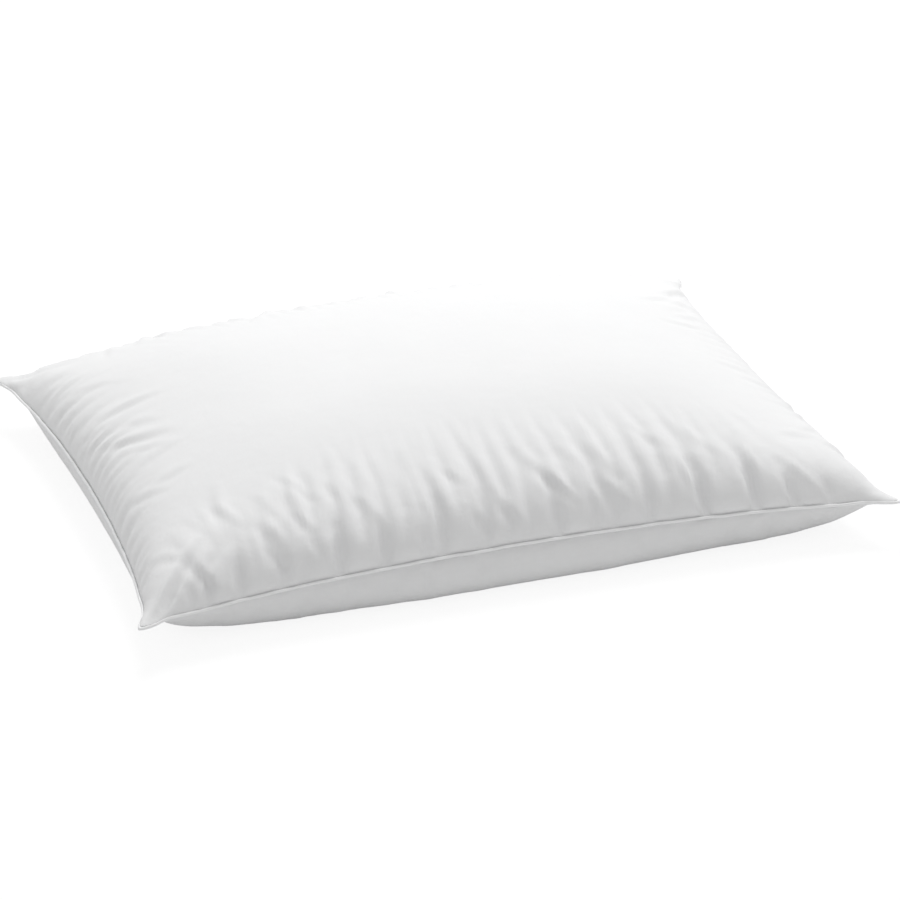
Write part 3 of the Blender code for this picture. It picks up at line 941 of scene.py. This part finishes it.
def folded_strip_outline():
    """The strip's section: two arcs about the cord's middle and two pairs of straight flange edges."""
    flange = FLANGE_GAP + STRIP
    outer_end = math.asin(flange / PIPING_RADIUS)
    inner_end = math.asin(FLANGE_GAP / (PIPING_RADIUS - STRIP))
    outer = np.linspace(math.pi - outer_end, outer_end - math.pi, 15)
    inner = np.linspace(inner_end - math.pi, math.pi - inner_end, 11)
    arcs = [np.column_stack([PIPING_OUT + r * np.cos(a), r * np.sin(a)])
            for r, a in ((PIPING_RADIUS, outer), (PIPING_RADIUS - STRIP, inner))]
    deep = np.array([-0.0005, -0.0050, -SEAM_ALLOWANCE])
    lower_out = np.column_stack([deep, np.full(3, -flange)])
    lower_in = np.column_stack([deep[::-1], np.full(3, -FLANGE_GAP)])
    return np.concatenate([arcs[0], lower_out, lower_in, arcs[1],
                           lower_in[::-1] * [1, -1], lower_out[::-1] * [1, -1]])


strip_outline = folded_strip_outline()
piping_distance, piping_points = carry(strip_outline, PIPING_SPACING)
piping = closed_tube("piping_strip", piping_distance, piping_points, ["piping_cover"], STRIP_GIRTH)

# %% [markdown]
# ## The cord in the piping
#
# Inside the strip runs a cord of three soft strands. A three-strand cord's section has three round lobes,
# which turn as it goes along, so its radius is a wave in angle minus the twist so far. The number of turns
# is whole, so that the ring closes.

# %% Lay the cord
CORD_RADIUS = 0.00068
CORD_TURN = 0.006           # length of cord for one full turn of its strands
CORD_LOBES = 3
CORD_LOBE_DEPTH = 0.14      # parts of the radius
CORD_SPACING = 0.0010


def twisted_outline(distance, sides):
    """Sections of a laid cord: radius * (1 - depth + depth * cos(lobes * (angle - twist)))."""
    turns = round(SEAM_LENGTH / CORD_TURN)
    twist = 2 * np.pi * turns * distance / SEAM_LENGTH
    angle = np.arange(sides) / sides * 2 * np.pi
    lobes = np.cos(CORD_LOBES * (angle[None] - twist[:, None]))
    size = CORD_RADIUS * (1 - CORD_LOBE_DEPTH + CORD_LOBE_DEPTH * lobes)
    return np.stack([PIPING_OUT + size * np.cos(angle), size * np.sin(angle)], -1)


cord_distance = seam_frame(CORD_SPACING)[0]
cord_outline = twisted_outline(cord_distance, 12)
cord_points = carry(cord_outline, CORD_SPACING)[1]
cord = closed_tube("laid_cord", cord_distance, cord_points, ["piping_cord"],
                   2 * math.pi * CORD_RADIUS)

# %% [markdown]
# ## The seam's two threads
#
# A lockstitch has two threads. The needle thread lies on the upper turned-in edge and the bobbin thread on
# the lower one, and each dips at every stitch to loop round the other in the middle of the cloth. All of it
# is inside the pillow. Each is a thin tube that rises and falls once a stitch.

# %% Sew the seam
STITCH_LENGTH = 0.0028
THREAD_RADIUS = 0.0002
STITCH_INSET = 0.0050       # in from the fold
STITCH_RISE = 0.00012
THREAD_SPACING = 0.00047    # six outlines to a stitch


def stitched_outline(distance, side):
    """A pentagon that lies highest in the middle of each stitch: its height is a power of |sin|."""
    stitches = round(SEAM_LENGTH / STITCH_LENGTH)
    wave = np.abs(np.sin(np.pi * stitches * distance / SEAM_LENGTH)) ** 0.6
    middle = side * (HALF_STACK + TICKING + THREAD_RADIUS + 0.00002 + STITCH_RISE * wave)
    angle = np.arange(5) / 5 * 2 * np.pi
    ones = np.ones(len(distance))[:, None]
    return np.stack([-STITCH_INSET + THREAD_RADIUS * np.cos(angle) * ones,
                     middle[:, None] + THREAD_RADIUS * np.sin(angle)], -1)


seam_threads = []
for name, side, node in (("needle_thread_of_seam", 1, "seam_needle_thread"),
                         ("bobbin_thread_of_seam", -1, "seam_bobbin_thread")):
    thread_outline = stitched_outline(seam_frame(THREAD_SPACING)[0], side)
    thread_distance, thread_points = carry(thread_outline, THREAD_SPACING)
    seam_threads.append(closed_tube(name, thread_distance, thread_points, [node],
                                    2 * math.pi * THREAD_RADIUS))

# %% [markdown]
# ## The closed gap
#
# The filling went in through a gap in the back seam, which was then closed from the outside, about 3.4 mm
# from the fold. These stitches show: small raised dashes on the upper cloth, and the same from the bobbin
# on the lower cloth. A run of stitches has two ends, so these tubes are closed by a cap. Each stitch sinks
# to the cloth at its ends.

# %% Close the gap
CLOSING_INSET = 0.0034      # in from the fold
CLOSING_HALF_LENGTH = 0.250
CLOSING_LOW = 0.00006       # the thread's middle above the cloth between two stitches
CLOSING_RISE = 0.00026      # and how much higher it is in the middle of one


def wall_at(layer, i, inset):
    """The outer face of the back wall, inset metres of cloth in from the fold, at any grid columns i."""
    row = x.shape[1] - 1 - inset / (SEWN_DEPTH / cells[1])
    low = np.floor(row).astype(int)
    t = (row - low)[..., None]
    columns = np.arange(x.shape[0])
    lower, upper = [np.stack([np.interp(i, columns, walls[layer][:, j, k]) for k in range(3)], -1)
                    for j in (low, min(low + 1, x.shape[1] - 1))]
    return lower * (1 - t) + upper * t


def wall_frame(layer, i, inset):
    """Place and outward normal of the back wall."""
    place = wall_at(layer, i, inset)
    run = np.gradient(place, axis=0)
    rise = wall_at(layer, i, inset + 0.0012) - place
    normal = unit(np.cross(run, rise))
    return place, normal * np.sign(normal[:, 1:2])


def capped_tube(name, path, radius, sides, up, nodes):
    """A tube about an open path with a cap at each end: the outline is a circle about each point."""
    forward = unit(np.gradient(path, axis=0))
    across = unit(np.cross(forward, up))
    over = np.cross(across, forward)
    angle = np.arange(sides) / sides * 2 * np.pi
    circle = np.cos(angle)[:, None] * across[:, None] + np.sin(angle)[:, None] * over[:, None]
    body = path[:, None] + radius * circle
    caps = np.broadcast_to(path[[0, -1], None], (2, sides, 3))
    points = np.concatenate([caps[:1], body, caps[1:]])
    faces = grid_faces(len(points), sides, False, True)
    distance = distance_along(path)
    distance = np.concatenate([distance[:1], distance, distance[-1:]])
    u = distance[faces // sides]
    v = unwrapped(faces % sides, sides) / sides * 2 * math.pi * radius
    piece = make_tube(name, points.reshape(-1, 3), faces, u, v, nodes)
    add_modifier(piece, "WELD", merge_threshold=1e-6)
    return piece


closing_ends = [-CLOSING_HALF_LENGTH, CLOSING_HALF_LENGTH]
column_at = np.interp(closing_ends, walls[0][:, -1, 0], np.arange(x.shape[0]))
closing_columns = np.linspace(*column_at, int(2 * CLOSING_HALF_LENGTH / 0.0004))
closing_threads = []
for name, layer, node in (("needle_thread_of_gap", 0, "closing_needle_thread"),
                          ("bobbin_thread_of_gap", 1, "closing_bobbin_thread")):
    place, normal = wall_frame(layer, closing_columns, CLOSING_INSET)
    wave = np.abs(np.sin(np.pi * distance_along(place) / STITCH_LENGTH)) ** 0.5
    path = place + normal * (CLOSING_LOW + CLOSING_RISE * wave)[:, None]
    closing_threads.append(capped_tube(name, path, THREAD_RADIUS, 6, normal, [node]))

# %% [markdown]
# ## The care label
#
# A short satin ribbon is caught in the back seam near its left end, where it is out of the way. It hangs in
# front of the lower cloth and curls a little away from it. It is left blank. Its place comes from the CAD
# node's box, and its shape is a grid: across its width, and down its length from the piping.

# %% Hang the label
LABEL_THICKNESS = 0.00025
label_low, label_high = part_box("care_label")
LABEL_WIDTH = label_high[0] - label_low[0]
LABEL_LENGTH = 0.023
LABEL_START = 0.0016        # in from the fold, just below the piping
LABEL_STRAIGHTNESS = 0.85   # satin is stiffer than the wall behind it
LABEL_GAP = 0.0007          # between its top and the wall
LABEL_CURL = 0.0030         # more gap at its bottom


def hang_label():
    """Points[i, j]: the lower wall's outside at each column, pushed out by a gap that grows as a square."""
    ends = np.interp([label_low[0], label_high[0]], walls[1][:, -1, 0], np.arange(x.shape[0]))
    columns = np.linspace(*ends, 25)
    down = np.linspace(LABEL_START, LABEL_START + LABEL_LENGTH, 20)
    place = np.stack([wall_at(1, columns, inset) for inset in down], 1)
    top, bottom = place[:, :1], place[:, -1:]
    part = ((down - down[0]) / LABEL_LENGTH)[None, :, None]
    straight = top + unit(bottom - top) * LABEL_LENGTH * part
    eased = (1 - LABEL_STRAIGHTNESS) * place + LABEL_STRAIGHTNESS * straight
    eased[..., 1] = np.maximum(eased[..., 1], place[..., 1])
    across = np.linspace(-1, 1, 25)[:, None]
    part = part[..., 0]
    gap = LABEL_GAP + LABEL_CURL * part ** 2 + 0.0008 * part * across ** 2 + 0.0006 * part * across
    eased[..., 1] += gap
    flat = np.stack(np.broadcast_arrays((across + 1) / 2 * LABEL_WIDTH, (down - down[0])[None]), -1)
    return eased, flat


label_points, label_map = hang_label()
label_faces = grid_faces(*label_points.shape[:2])[:, ::-1]
label = make_piece("blank_care_label", label_points.reshape(-1, 3), label_faces, label_map.reshape(-1, 2),
                   ["care_label"])
add_modifier(label, "SOLIDIFY", thickness=LABEL_THICKNESS, offset=-1.0)
add_modifier(label, "SUBSURF", levels=1, render_levels=1)

# %% [markdown]
# ## The filling
#
# Feathers and down pack into soft lumps that press against the cloth from inside. Nobody sees them in a
# sound pillow, but the pillow is not empty. The filling follows the panels from 2 mm inside and bulges
# where the lumps are. Its rim lies about 3 cm of cloth in from the fold, because the seam's layers leave no
# room further out.

# %% Stuff the pillow
FILLING_INSET = 0.0020
LUMP_HEIGHT = 0.0005
LUMP_SIZE = 0.05
LUMP_RANGE = (-0.0008, 0.0012)
LUMP_SEED = 21
FILLING_MARGIN = 8          # cells of cloth round it that hold the seam's layers
FILLING_HALF_LEAST = 0.0006     # half of its height at the rim
RIM_INWARD = 0.008          # the rim's middle, further in than the rows above and below it


def deepest_nearby(depth, reach):
    """Each value becomes the highest within reach cells, then a mean over the same square."""
    for combine in (np.maximum, np.add):
        for axis in (0, 1):
            more = [(reach, reach) if a == axis else (0, 0) for a in (0, 1)]
            padded = np.pad(depth, more, mode="edge")
            count = depth.shape[axis]
            shifted = [np.take(padded, np.arange(k, k + count), axis=axis) for k in range(2 * reach + 1)]
            depth = combine.reduce(shifted)
            if combine is np.add:
                depth = depth / (2 * reach + 1)
    return depth


def make_filling():
    """Points of the smooth bed moved in: place - normal * (fold depth + inset + lumps), with joined rims."""
    kept = slice(FILLING_MARGIN, -FILLING_MARGIN, 2)
    rng = np.random.default_rng(LUMP_SEED)
    layers = []
    for layer, side in ((0, 1), (1, -1)):
        normal = normals_of(bed[layer].astype(float)) * side
        fold_depth = np.maximum(((bed[layer] - cover[layer]) * normal).sum(-1), 0)
        depth = deepest_nearby(fold_depth, 3) + FILLING_INSET
        depth = depth + np.clip(LUMP_HEIGHT * patches(rng, cells, LUMP_SIZE), *LUMP_RANGE)
        layers.append((bed[layer] - normal * depth[..., None])[kept, kept])
    layers = np.array(layers)
    middle_plane = (layers[:1, ..., 2] + layers[1:, ..., 2]) / 2
    half = np.maximum((layers[:1, ..., 2] - layers[1:, ..., 2]) / 2, FILLING_HALF_LEAST)
    layers[..., 2] = np.concatenate([middle_plane + half, middle_plane - half])
    rows, columns = layers.shape[1:3]
    numbers = round_the_edge(np.arange(rows * columns).reshape(rows, columns))
    rims = [layer.reshape(-1, 3)[numbers] for layer in layers]
    middle = (rims[0] + rims[1]) / 2
    inward = unit(middle * [-1, -1, 0] / [SEWN_LENGTH / 2, SEWN_DEPTH / 2, 1]) * RIM_INWARD
    points = np.concatenate([layers.reshape(-1, 3), middle + inward])
    between = 2 * rows * columns + np.arange(len(numbers))
    sheet_faces = grid_faces(rows, columns)
    faces = [sheet_faces, sheet_faces[:, ::-1] + rows * columns]
    for upper, lower in ((numbers, between), (between, rows * columns + numbers)):
        faces.append(np.stack([upper, lower, np.roll(lower, -1), np.roll(upper, -1)], -1))
    return points, np.concatenate(faces)


filling_points, filling_faces = make_filling()
filling_map = filling_points[:, :2] + filling_points[:, 2:]
filling = make_piece("feathers_and_down", filling_points, filling_faces, filling_map, ["filling"])
add_modifier(filling, "SUBSURF", levels=1, render_levels=1)
print("filling volume", round(signed_volume(filling_points, filling_faces) * 1000, 1), "litres")

# %% [markdown]
# ## Finishes
#
# All of this pillow is white, so its finishes differ in weave, sheen and roughness and hardly in colour.
# Each finish is written as arithmetic on the cloth map, in metres of flat cloth. A small class wraps a
# node's output, and its operators add Math nodes, so that a formula reads as a formula.

# %% Write shaders as arithmetic
class Varying:
    """A number that varies over a surface. Operators on it add Math nodes and give another one."""

    def __init__(self, finish, socket):
        self.finish = finish
        self.socket = socket

    def math(self, operation, *values):
        inputs = dict(enumerate(values))
        return self.finish.node("ShaderNodeMath", {"operation": operation}, inputs)

    def __add__(self, other):
        return self.math("ADD", self, other)

    def __rsub__(self, other):
        return self.math("SUBTRACT", other, self)

    def __mul__(self, other):
        return self.math("MULTIPLY", self, other)

    def __rtruediv__(self, other):
        return self.math("DIVIDE", other, self)

    __radd__ = __add__
    __rmul__ = __mul__

    def sine(self):
        return self.math("SINE", self)

    def absolute(self):
        return self.math("ABSOLUTE", self)

    def highest(self, other):
        return self.math("MAXIMUM", self, other)


class Finish:
    """A material whose nodes are made by one method, with a Principled shader at its end."""

    def __init__(self, name, **constants):
        self.material = bpy.data.materials.new(name)
        self.material.use_nodes = True
        self.nodes = self.material.node_tree.nodes
        self.shader = self.nodes["Principled BSDF"]
        for socket, value in constants.items():
            self.shader.inputs[socket.replace("_", " ")].default_value = value

    def node(self, kind, settings, inputs, output=0):
        """A node of this kind: its settings first, then the values or links of its sockets."""
        node = self.nodes.new(kind)
        for setting, value in settings.items():
            setattr(node, setting, value)
        for socket, value in inputs.items():
            self.feed(node.inputs[socket], value)
        return Varying(self, node.outputs[output])

    def feed(self, socket, value):
        """A value set on a socket, or a link to it."""
        if isinstance(value, Varying):
            self.material.node_tree.links.new(value.socket, socket)
        else:
            socket.default_value = value

    def cloth_map(self, turn=0.0):
        """The place on the flat cloth in metres and its two coordinates, turned for cloth cut on the bias."""
        flat = self.node("ShaderNodeUVMap", {"uv_map": "cloth"}, {})
        turned = self.node("ShaderNodeMapping", {"vector_type": "POINT"}, {0: flat, 2: (0, 0, turn)})
        both = self.node("ShaderNodeSeparateXYZ", {}, {0: turned})
        return turned, both, Varying(self, both.socket.node.outputs[1])

    def noise(self, place, scale, detail=2.0, stretch=(1, 1, 1)):
        """Smooth noise from 0 to 1 with this many lumps in a metre, stretched along each axis."""
        scaled = self.node("ShaderNodeMapping", {"vector_type": "POINT"}, {0: place, 3: stretch})
        settings = {"noise_dimensions": "3D"}
        return self.node("ShaderNodeTexNoise", settings, {"Vector": scaled, "Scale": scale, "Detail": detail})

    def shades(self, amount, low, high):
        """A colour between two others."""
        mix = self.nodes.new("ShaderNodeMix")
        mix.data_type = "RGBA"
        self.feed(mix.inputs[0], amount)
        mix.inputs[6].default_value = (*low, 1)
        mix.inputs[7].default_value = (*high, 1)
        return Varying(self, mix.outputs[2])

    def relief(self, height, depth, under=None):
        """A bump of this height in metres, on top of another one."""
        inputs = {"Height": height, "Distance": depth, "Strength": 1.0}
        if under is not None:
            inputs["Normal"] = under
        return self.node("ShaderNodeBump", {}, inputs)

    def finish(self, **varying):
        """Links what varies into the shader, and returns the material."""
        for socket, value in varying.items():
            self.feed(self.shader.inputs[socket.replace("_", " ")], value)
        return self.material


def plain_weave(u, v, pitch):
    """Plain weave: warp and weft are round ridges, and a checker of the two signs says which lies on top."""
    warp = (u * (math.pi / pitch)).sine()
    weft = (v * (math.pi / pitch)).sine()
    over = warp * weft
    return (warp.absolute() * (over + 1.0)).highest(weft.absolute() * (1.0 - over)) * 0.5


# %% [markdown]
# ### Ticking
#
# Down-proof cotton is a fine, dense plain weave with some forty threads to the centimetre, pressed smooth
# until it has a faint sheen. Cotton thread is never even, so faint streaks run both ways, some millimetres
# wide and a few centimetres long. Close to the seam the cloth is creased again and again when the pillow is
# packed and shaken, which leaves small shallow dents. All colour variation stays within a few parts in a
# hundred.

# %% Ticking
TICKING_PITCH = 0.00026


def make_ticking():
    """Plain weave under faint streaks, on soft dents that are deepest beside the seam."""
    cotton = Finish("down_proof_cotton", Sheen_Weight=0.15, Sheen_Roughness=0.45, Specular_IOR_Level=0.25)
    place, u, v = cotton.cloth_map()
    weave = plain_weave(u, v, TICKING_PITCH)
    warp_streaks = cotton.noise(place, 1.0, 3.0, (420, 26, 1))
    weft_streaks = cotton.noise(place, 1.0, 3.0, (26, 420, 1))
    streaks = (warp_streaks + weft_streaks) * 0.5
    clouds = cotton.noise(place, 14.0, 3.0)
    from_seam = cotton.node("ShaderNodeAttribute", {"attribute_name": "from_seam"}, {}, 2)
    worked = 1.0 / (1.0 + from_seam * from_seam * 260.0)
    dents = cotton.noise(place, 62.0, 3.0)
    soft = cotton.noise(place, 24.0, 2.0)
    colour = cotton.shades(streaks * 0.55 + clouds * 0.45, (0.795, 0.797, 0.800), (0.850, 0.851, 0.853))
    roughness = 0.80 + (streaks + weave) * 0.07
    broad = cotton.relief(soft * (0.4 + worked * 0.6), 0.0012)
    dented = cotton.relief(dents * (0.12 + worked), 0.0010, broad)
    streaked = cotton.relief(streaks, 0.00006, dented)
    woven = cotton.relief(weave, 0.00003, streaked)
    return cotton.finish(Base_Color=colour, Roughness=roughness, Normal=woven)


ticking = make_ticking()
for panel in (top_panel, bottom_panel):
    panel.data.materials.append(ticking)
print("ticking nodes", len(ticking.node_tree.nodes))

# %% [markdown]
# ### Piping, cord and threads
#
# The piping is the same cotton turned by 45 degrees and pulled tight, so its weave shows as fine slanting
# lines and it looks a touch brighter. The cord and the threads are yarns: their fibres run as slanting
# lines round them, a wave in distance plus girth.

# %% Piping, cord and threads
def make_bias_strip():
    """The same weave turned by 45 degrees, with slubs along it and small pulls."""
    strip = Finish("bias_cut_cotton", Sheen_Weight=0.15, Sheen_Roughness=0.4, Specular_IOR_Level=0.3)
    place, u, v = strip.cloth_map(math.radians(45))
    weave = plain_weave(u, v, TICKING_PITCH * 1.1)
    slubs = strip.noise(place, 1.0, 3.0, (420, 60, 1))
    pulls = strip.noise(place, 150.0, 2.0)
    colour = strip.shades(slubs * 0.5 + pulls * 0.5, (0.885, 0.887, 0.890), (0.935, 0.936, 0.938))
    folded = strip.relief(pulls, 0.00025)
    woven = strip.relief(weave, 0.00004, folded)
    return strip.finish(Base_Color=colour, Roughness=0.74 + weave * 0.12, Normal=woven)


def make_yarn(name, low, high, twist, girth, roughness):
    """Fibres as a sine of distance and girth together, so that they run round the yarn."""
    yarn = Finish(name, Sheen_Weight=0.1, Sheen_Roughness=0.5, Specular_IOR_Level=0.3)
    place, u, v = yarn.cloth_map()
    fibres = (u * (2 * math.pi / twist) + v * (6 * math.pi / girth)).sine() * 0.5 + 0.5
    fuzz = yarn.noise(place, 1800.0, 2.0)
    colour = yarn.shades(fibres * 0.5 + fuzz * 0.5, low, high)
    return yarn.finish(Base_Color=colour, Roughness=roughness + fuzz * 0.12,
                       Normal=yarn.relief(fibres + fuzz * 0.5, 0.00004))


piping.data.materials.append(make_bias_strip())
cord.data.materials.append(make_yarn("soft_cotton_cord", (0.80, 0.79, 0.76), (0.90, 0.89, 0.87),
                                     CORD_TURN, 2 * math.pi * CORD_RADIUS, 0.85))
sewing_thread = make_yarn("spun_polyester_thread", (0.82, 0.82, 0.82), (0.93, 0.93, 0.93),
                          0.0011, 2 * math.pi * THREAD_RADIUS, 0.55)
for thread in seam_threads + closing_threads:
    thread.data.materials.append(sewing_thread)

# %% [markdown]
# ### Feathers and label
#
# Down is off-white and matt, with short quills that point every way; the hollows between its clumps get
# painted shade, a darker colour where the clumps are low.
# The label is satin: long warp threads lie close together on its face, so it is smoother along them than
# the cotton and shows fine lines.

# %% Feathers and label
SATIN_PITCH = 0.00016


def make_feathers():
    """Clumps of down, with painted shade in the hollows between them, and barbs as noise that is stretched
    one way.
    """
    down = Finish("feathers_and_down", Sheen_Weight=0.3, Sheen_Roughness=0.6, Specular_IOR_Level=0.15)
    place = down.cloth_map()[0]
    clump_height_and_hollow_shade = down.noise(place, 55.0, 4.0)
    barbs = down.noise(place, 1.0, 4.0, (900, 160, 1))
    # painted shade: the colour is darker where the clump height is low, in the hollows between clumps
    colour = down.shades(clump_height_and_hollow_shade * 0.7 + barbs * 0.3, (0.70, 0.685, 0.65), (0.90, 0.89, 0.86))
    lumpy = down.relief(clump_height_and_hollow_shade, 0.002)
    roughness = 0.88 + barbs * 0.1
    return down.finish(Base_Color=colour, Roughness=roughness, Normal=down.relief(barbs, 0.0003, lumpy))


def make_satin():
    """Long floats: the absolute value of a sine across the ribbon, with streaks of painted sheen in the
    colour.
    """
    satin = Finish("white_satin_ribbon", Sheen_Weight=0.1, Specular_IOR_Level=0.5)
    place, u = satin.cloth_map()[:2]
    floats = (u * (math.pi / SATIN_PITCH)).sine().absolute()
    painted_sheen_and_rough_streaks = satin.noise(place, 1.0, 2.0, (1500, 60, 1))
    # painted sheen: the colour is lighter along streaks of the same noise that varies the roughness
    colour = satin.shades(painted_sheen_and_rough_streaks, (0.88, 0.88, 0.87), (0.94, 0.94, 0.93))
    roughness = 0.34 + painted_sheen_and_rough_streaks * 0.14
    return satin.finish(Base_Color=colour, Roughness=roughness, Normal=satin.relief(floats, 0.00002))


filling.data.materials.append(make_feathers())
label.data.materials.append(make_satin())
print("finishes:", [m.name for m in bpy.data.materials if m.users])

# %% [markdown]
# ## Floor and light
#
# The pillow lies on a white table. The camera sees the table a little brighter than the pillow does, so
# that its own shadow stays faint. The sky round it is an even white, and one large soft lamp hangs high
# behind the pillow. That leaves the front face, which looks away from the lamp, a clear step darker than
# the crown and lets the puckers show.

# %% Floor
FLOOR_HALF = 12.0
FLOOR_DROP = 0.0004         # just below the underside, so that the two surfaces don't share a plane
SEEN_GLOW = 0.88            # what the camera sees of the table: mostly its own light,
SEEN_GREY = 0.16            # and a little of what falls on it
floor_mesh = bpy.data.meshes.new("white_table")
floor_corners = [(x_side * FLOOR_HALF, y_side * FLOOR_HALF, -FLOOR_DROP)
                 for x_side, y_side in ((-1, -1), (1, -1), (1, 1), (-1, 1))]
floor_mesh.from_pydata(floor_corners, [], [(0, 1, 2, 3)])
floor = bpy.data.objects.new("white_table", floor_mesh)
bpy.context.scene.collection.objects.link(floor)
table_top = Finish("pale_table_top", Specular_IOR_Level=0.0)
object_place = table_top.node("ShaderNodeTexCoord", {}, {}, 3)
grain = table_top.noise(object_place, 30.0, 2.0)
table_top.finish(Base_Color=table_top.shades(grain, (0.84, 0.84, 0.84), (0.86, 0.86, 0.86)),
                 Roughness=0.9 + grain * 0.05)
seen_look = {"Emission Color": (1, 1, 1, 1), "Emission Strength": SEEN_GLOW, "Specular IOR Level": 0.0,
             "Base Color": (SEEN_GREY, SEEN_GREY, SEEN_GREY, 1), "Roughness": 1.0}
seen = table_top.node("ShaderNodeBsdfPrincipled", {}, seen_look)
by_eye = table_top.node("ShaderNodeLightPath", {}, {})
own_shader = Varying(table_top, table_top.shader.outputs[0])
both = table_top.node("ShaderNodeMixShader", {}, {0: by_eye, 1: own_shader, 2: seen})
table_top.feed(table_top.nodes["Material Output"].inputs["Surface"], both)
floor_mesh.materials.append(table_top.material)

# %% Light
SKY_STRENGTH = 0.55
LAMP_POWER = 74.0
LAMP_SIZE = 1.8
LAMP_PLACE = Vector((0.75, 1.3, 2.8))

sky = bpy.data.worlds.new("even_white_sky")
bpy.context.scene.world = sky
sky.use_nodes = True
sky.node_tree.nodes["Background"].inputs["Color"].default_value = (1, 1, 1, 1)
sky.node_tree.nodes["Background"].inputs["Strength"].default_value = SKY_STRENGTH
lamp = bpy.data.lights.new("soft_lamp", "AREA")
lamp.size = LAMP_SIZE
lamp.energy = LAMP_POWER
soft_lamp = bpy.data.objects.new("soft_lamp", lamp)
soft_lamp.location = LAMP_PLACE
soft_lamp.rotation_euler = (AIM - LAMP_PLACE).to_track_quat("-Z", "Y").to_euler()
bpy.context.scene.collection.objects.link(soft_lamp)
bpy.context.scene.view_settings.view_transform = "Standard"
print("sky", SKY_STRENGTH, "lamp", LAMP_POWER, "W at", tuple(LAMP_PLACE))

# %% [markdown]
# ## The end
#
# The scene is brought up to date. The finished model has to stay in the CAD model's box, apart from what
# soft cloth may stand proud.

# %% Finish
bpy.context.view_layer.update()
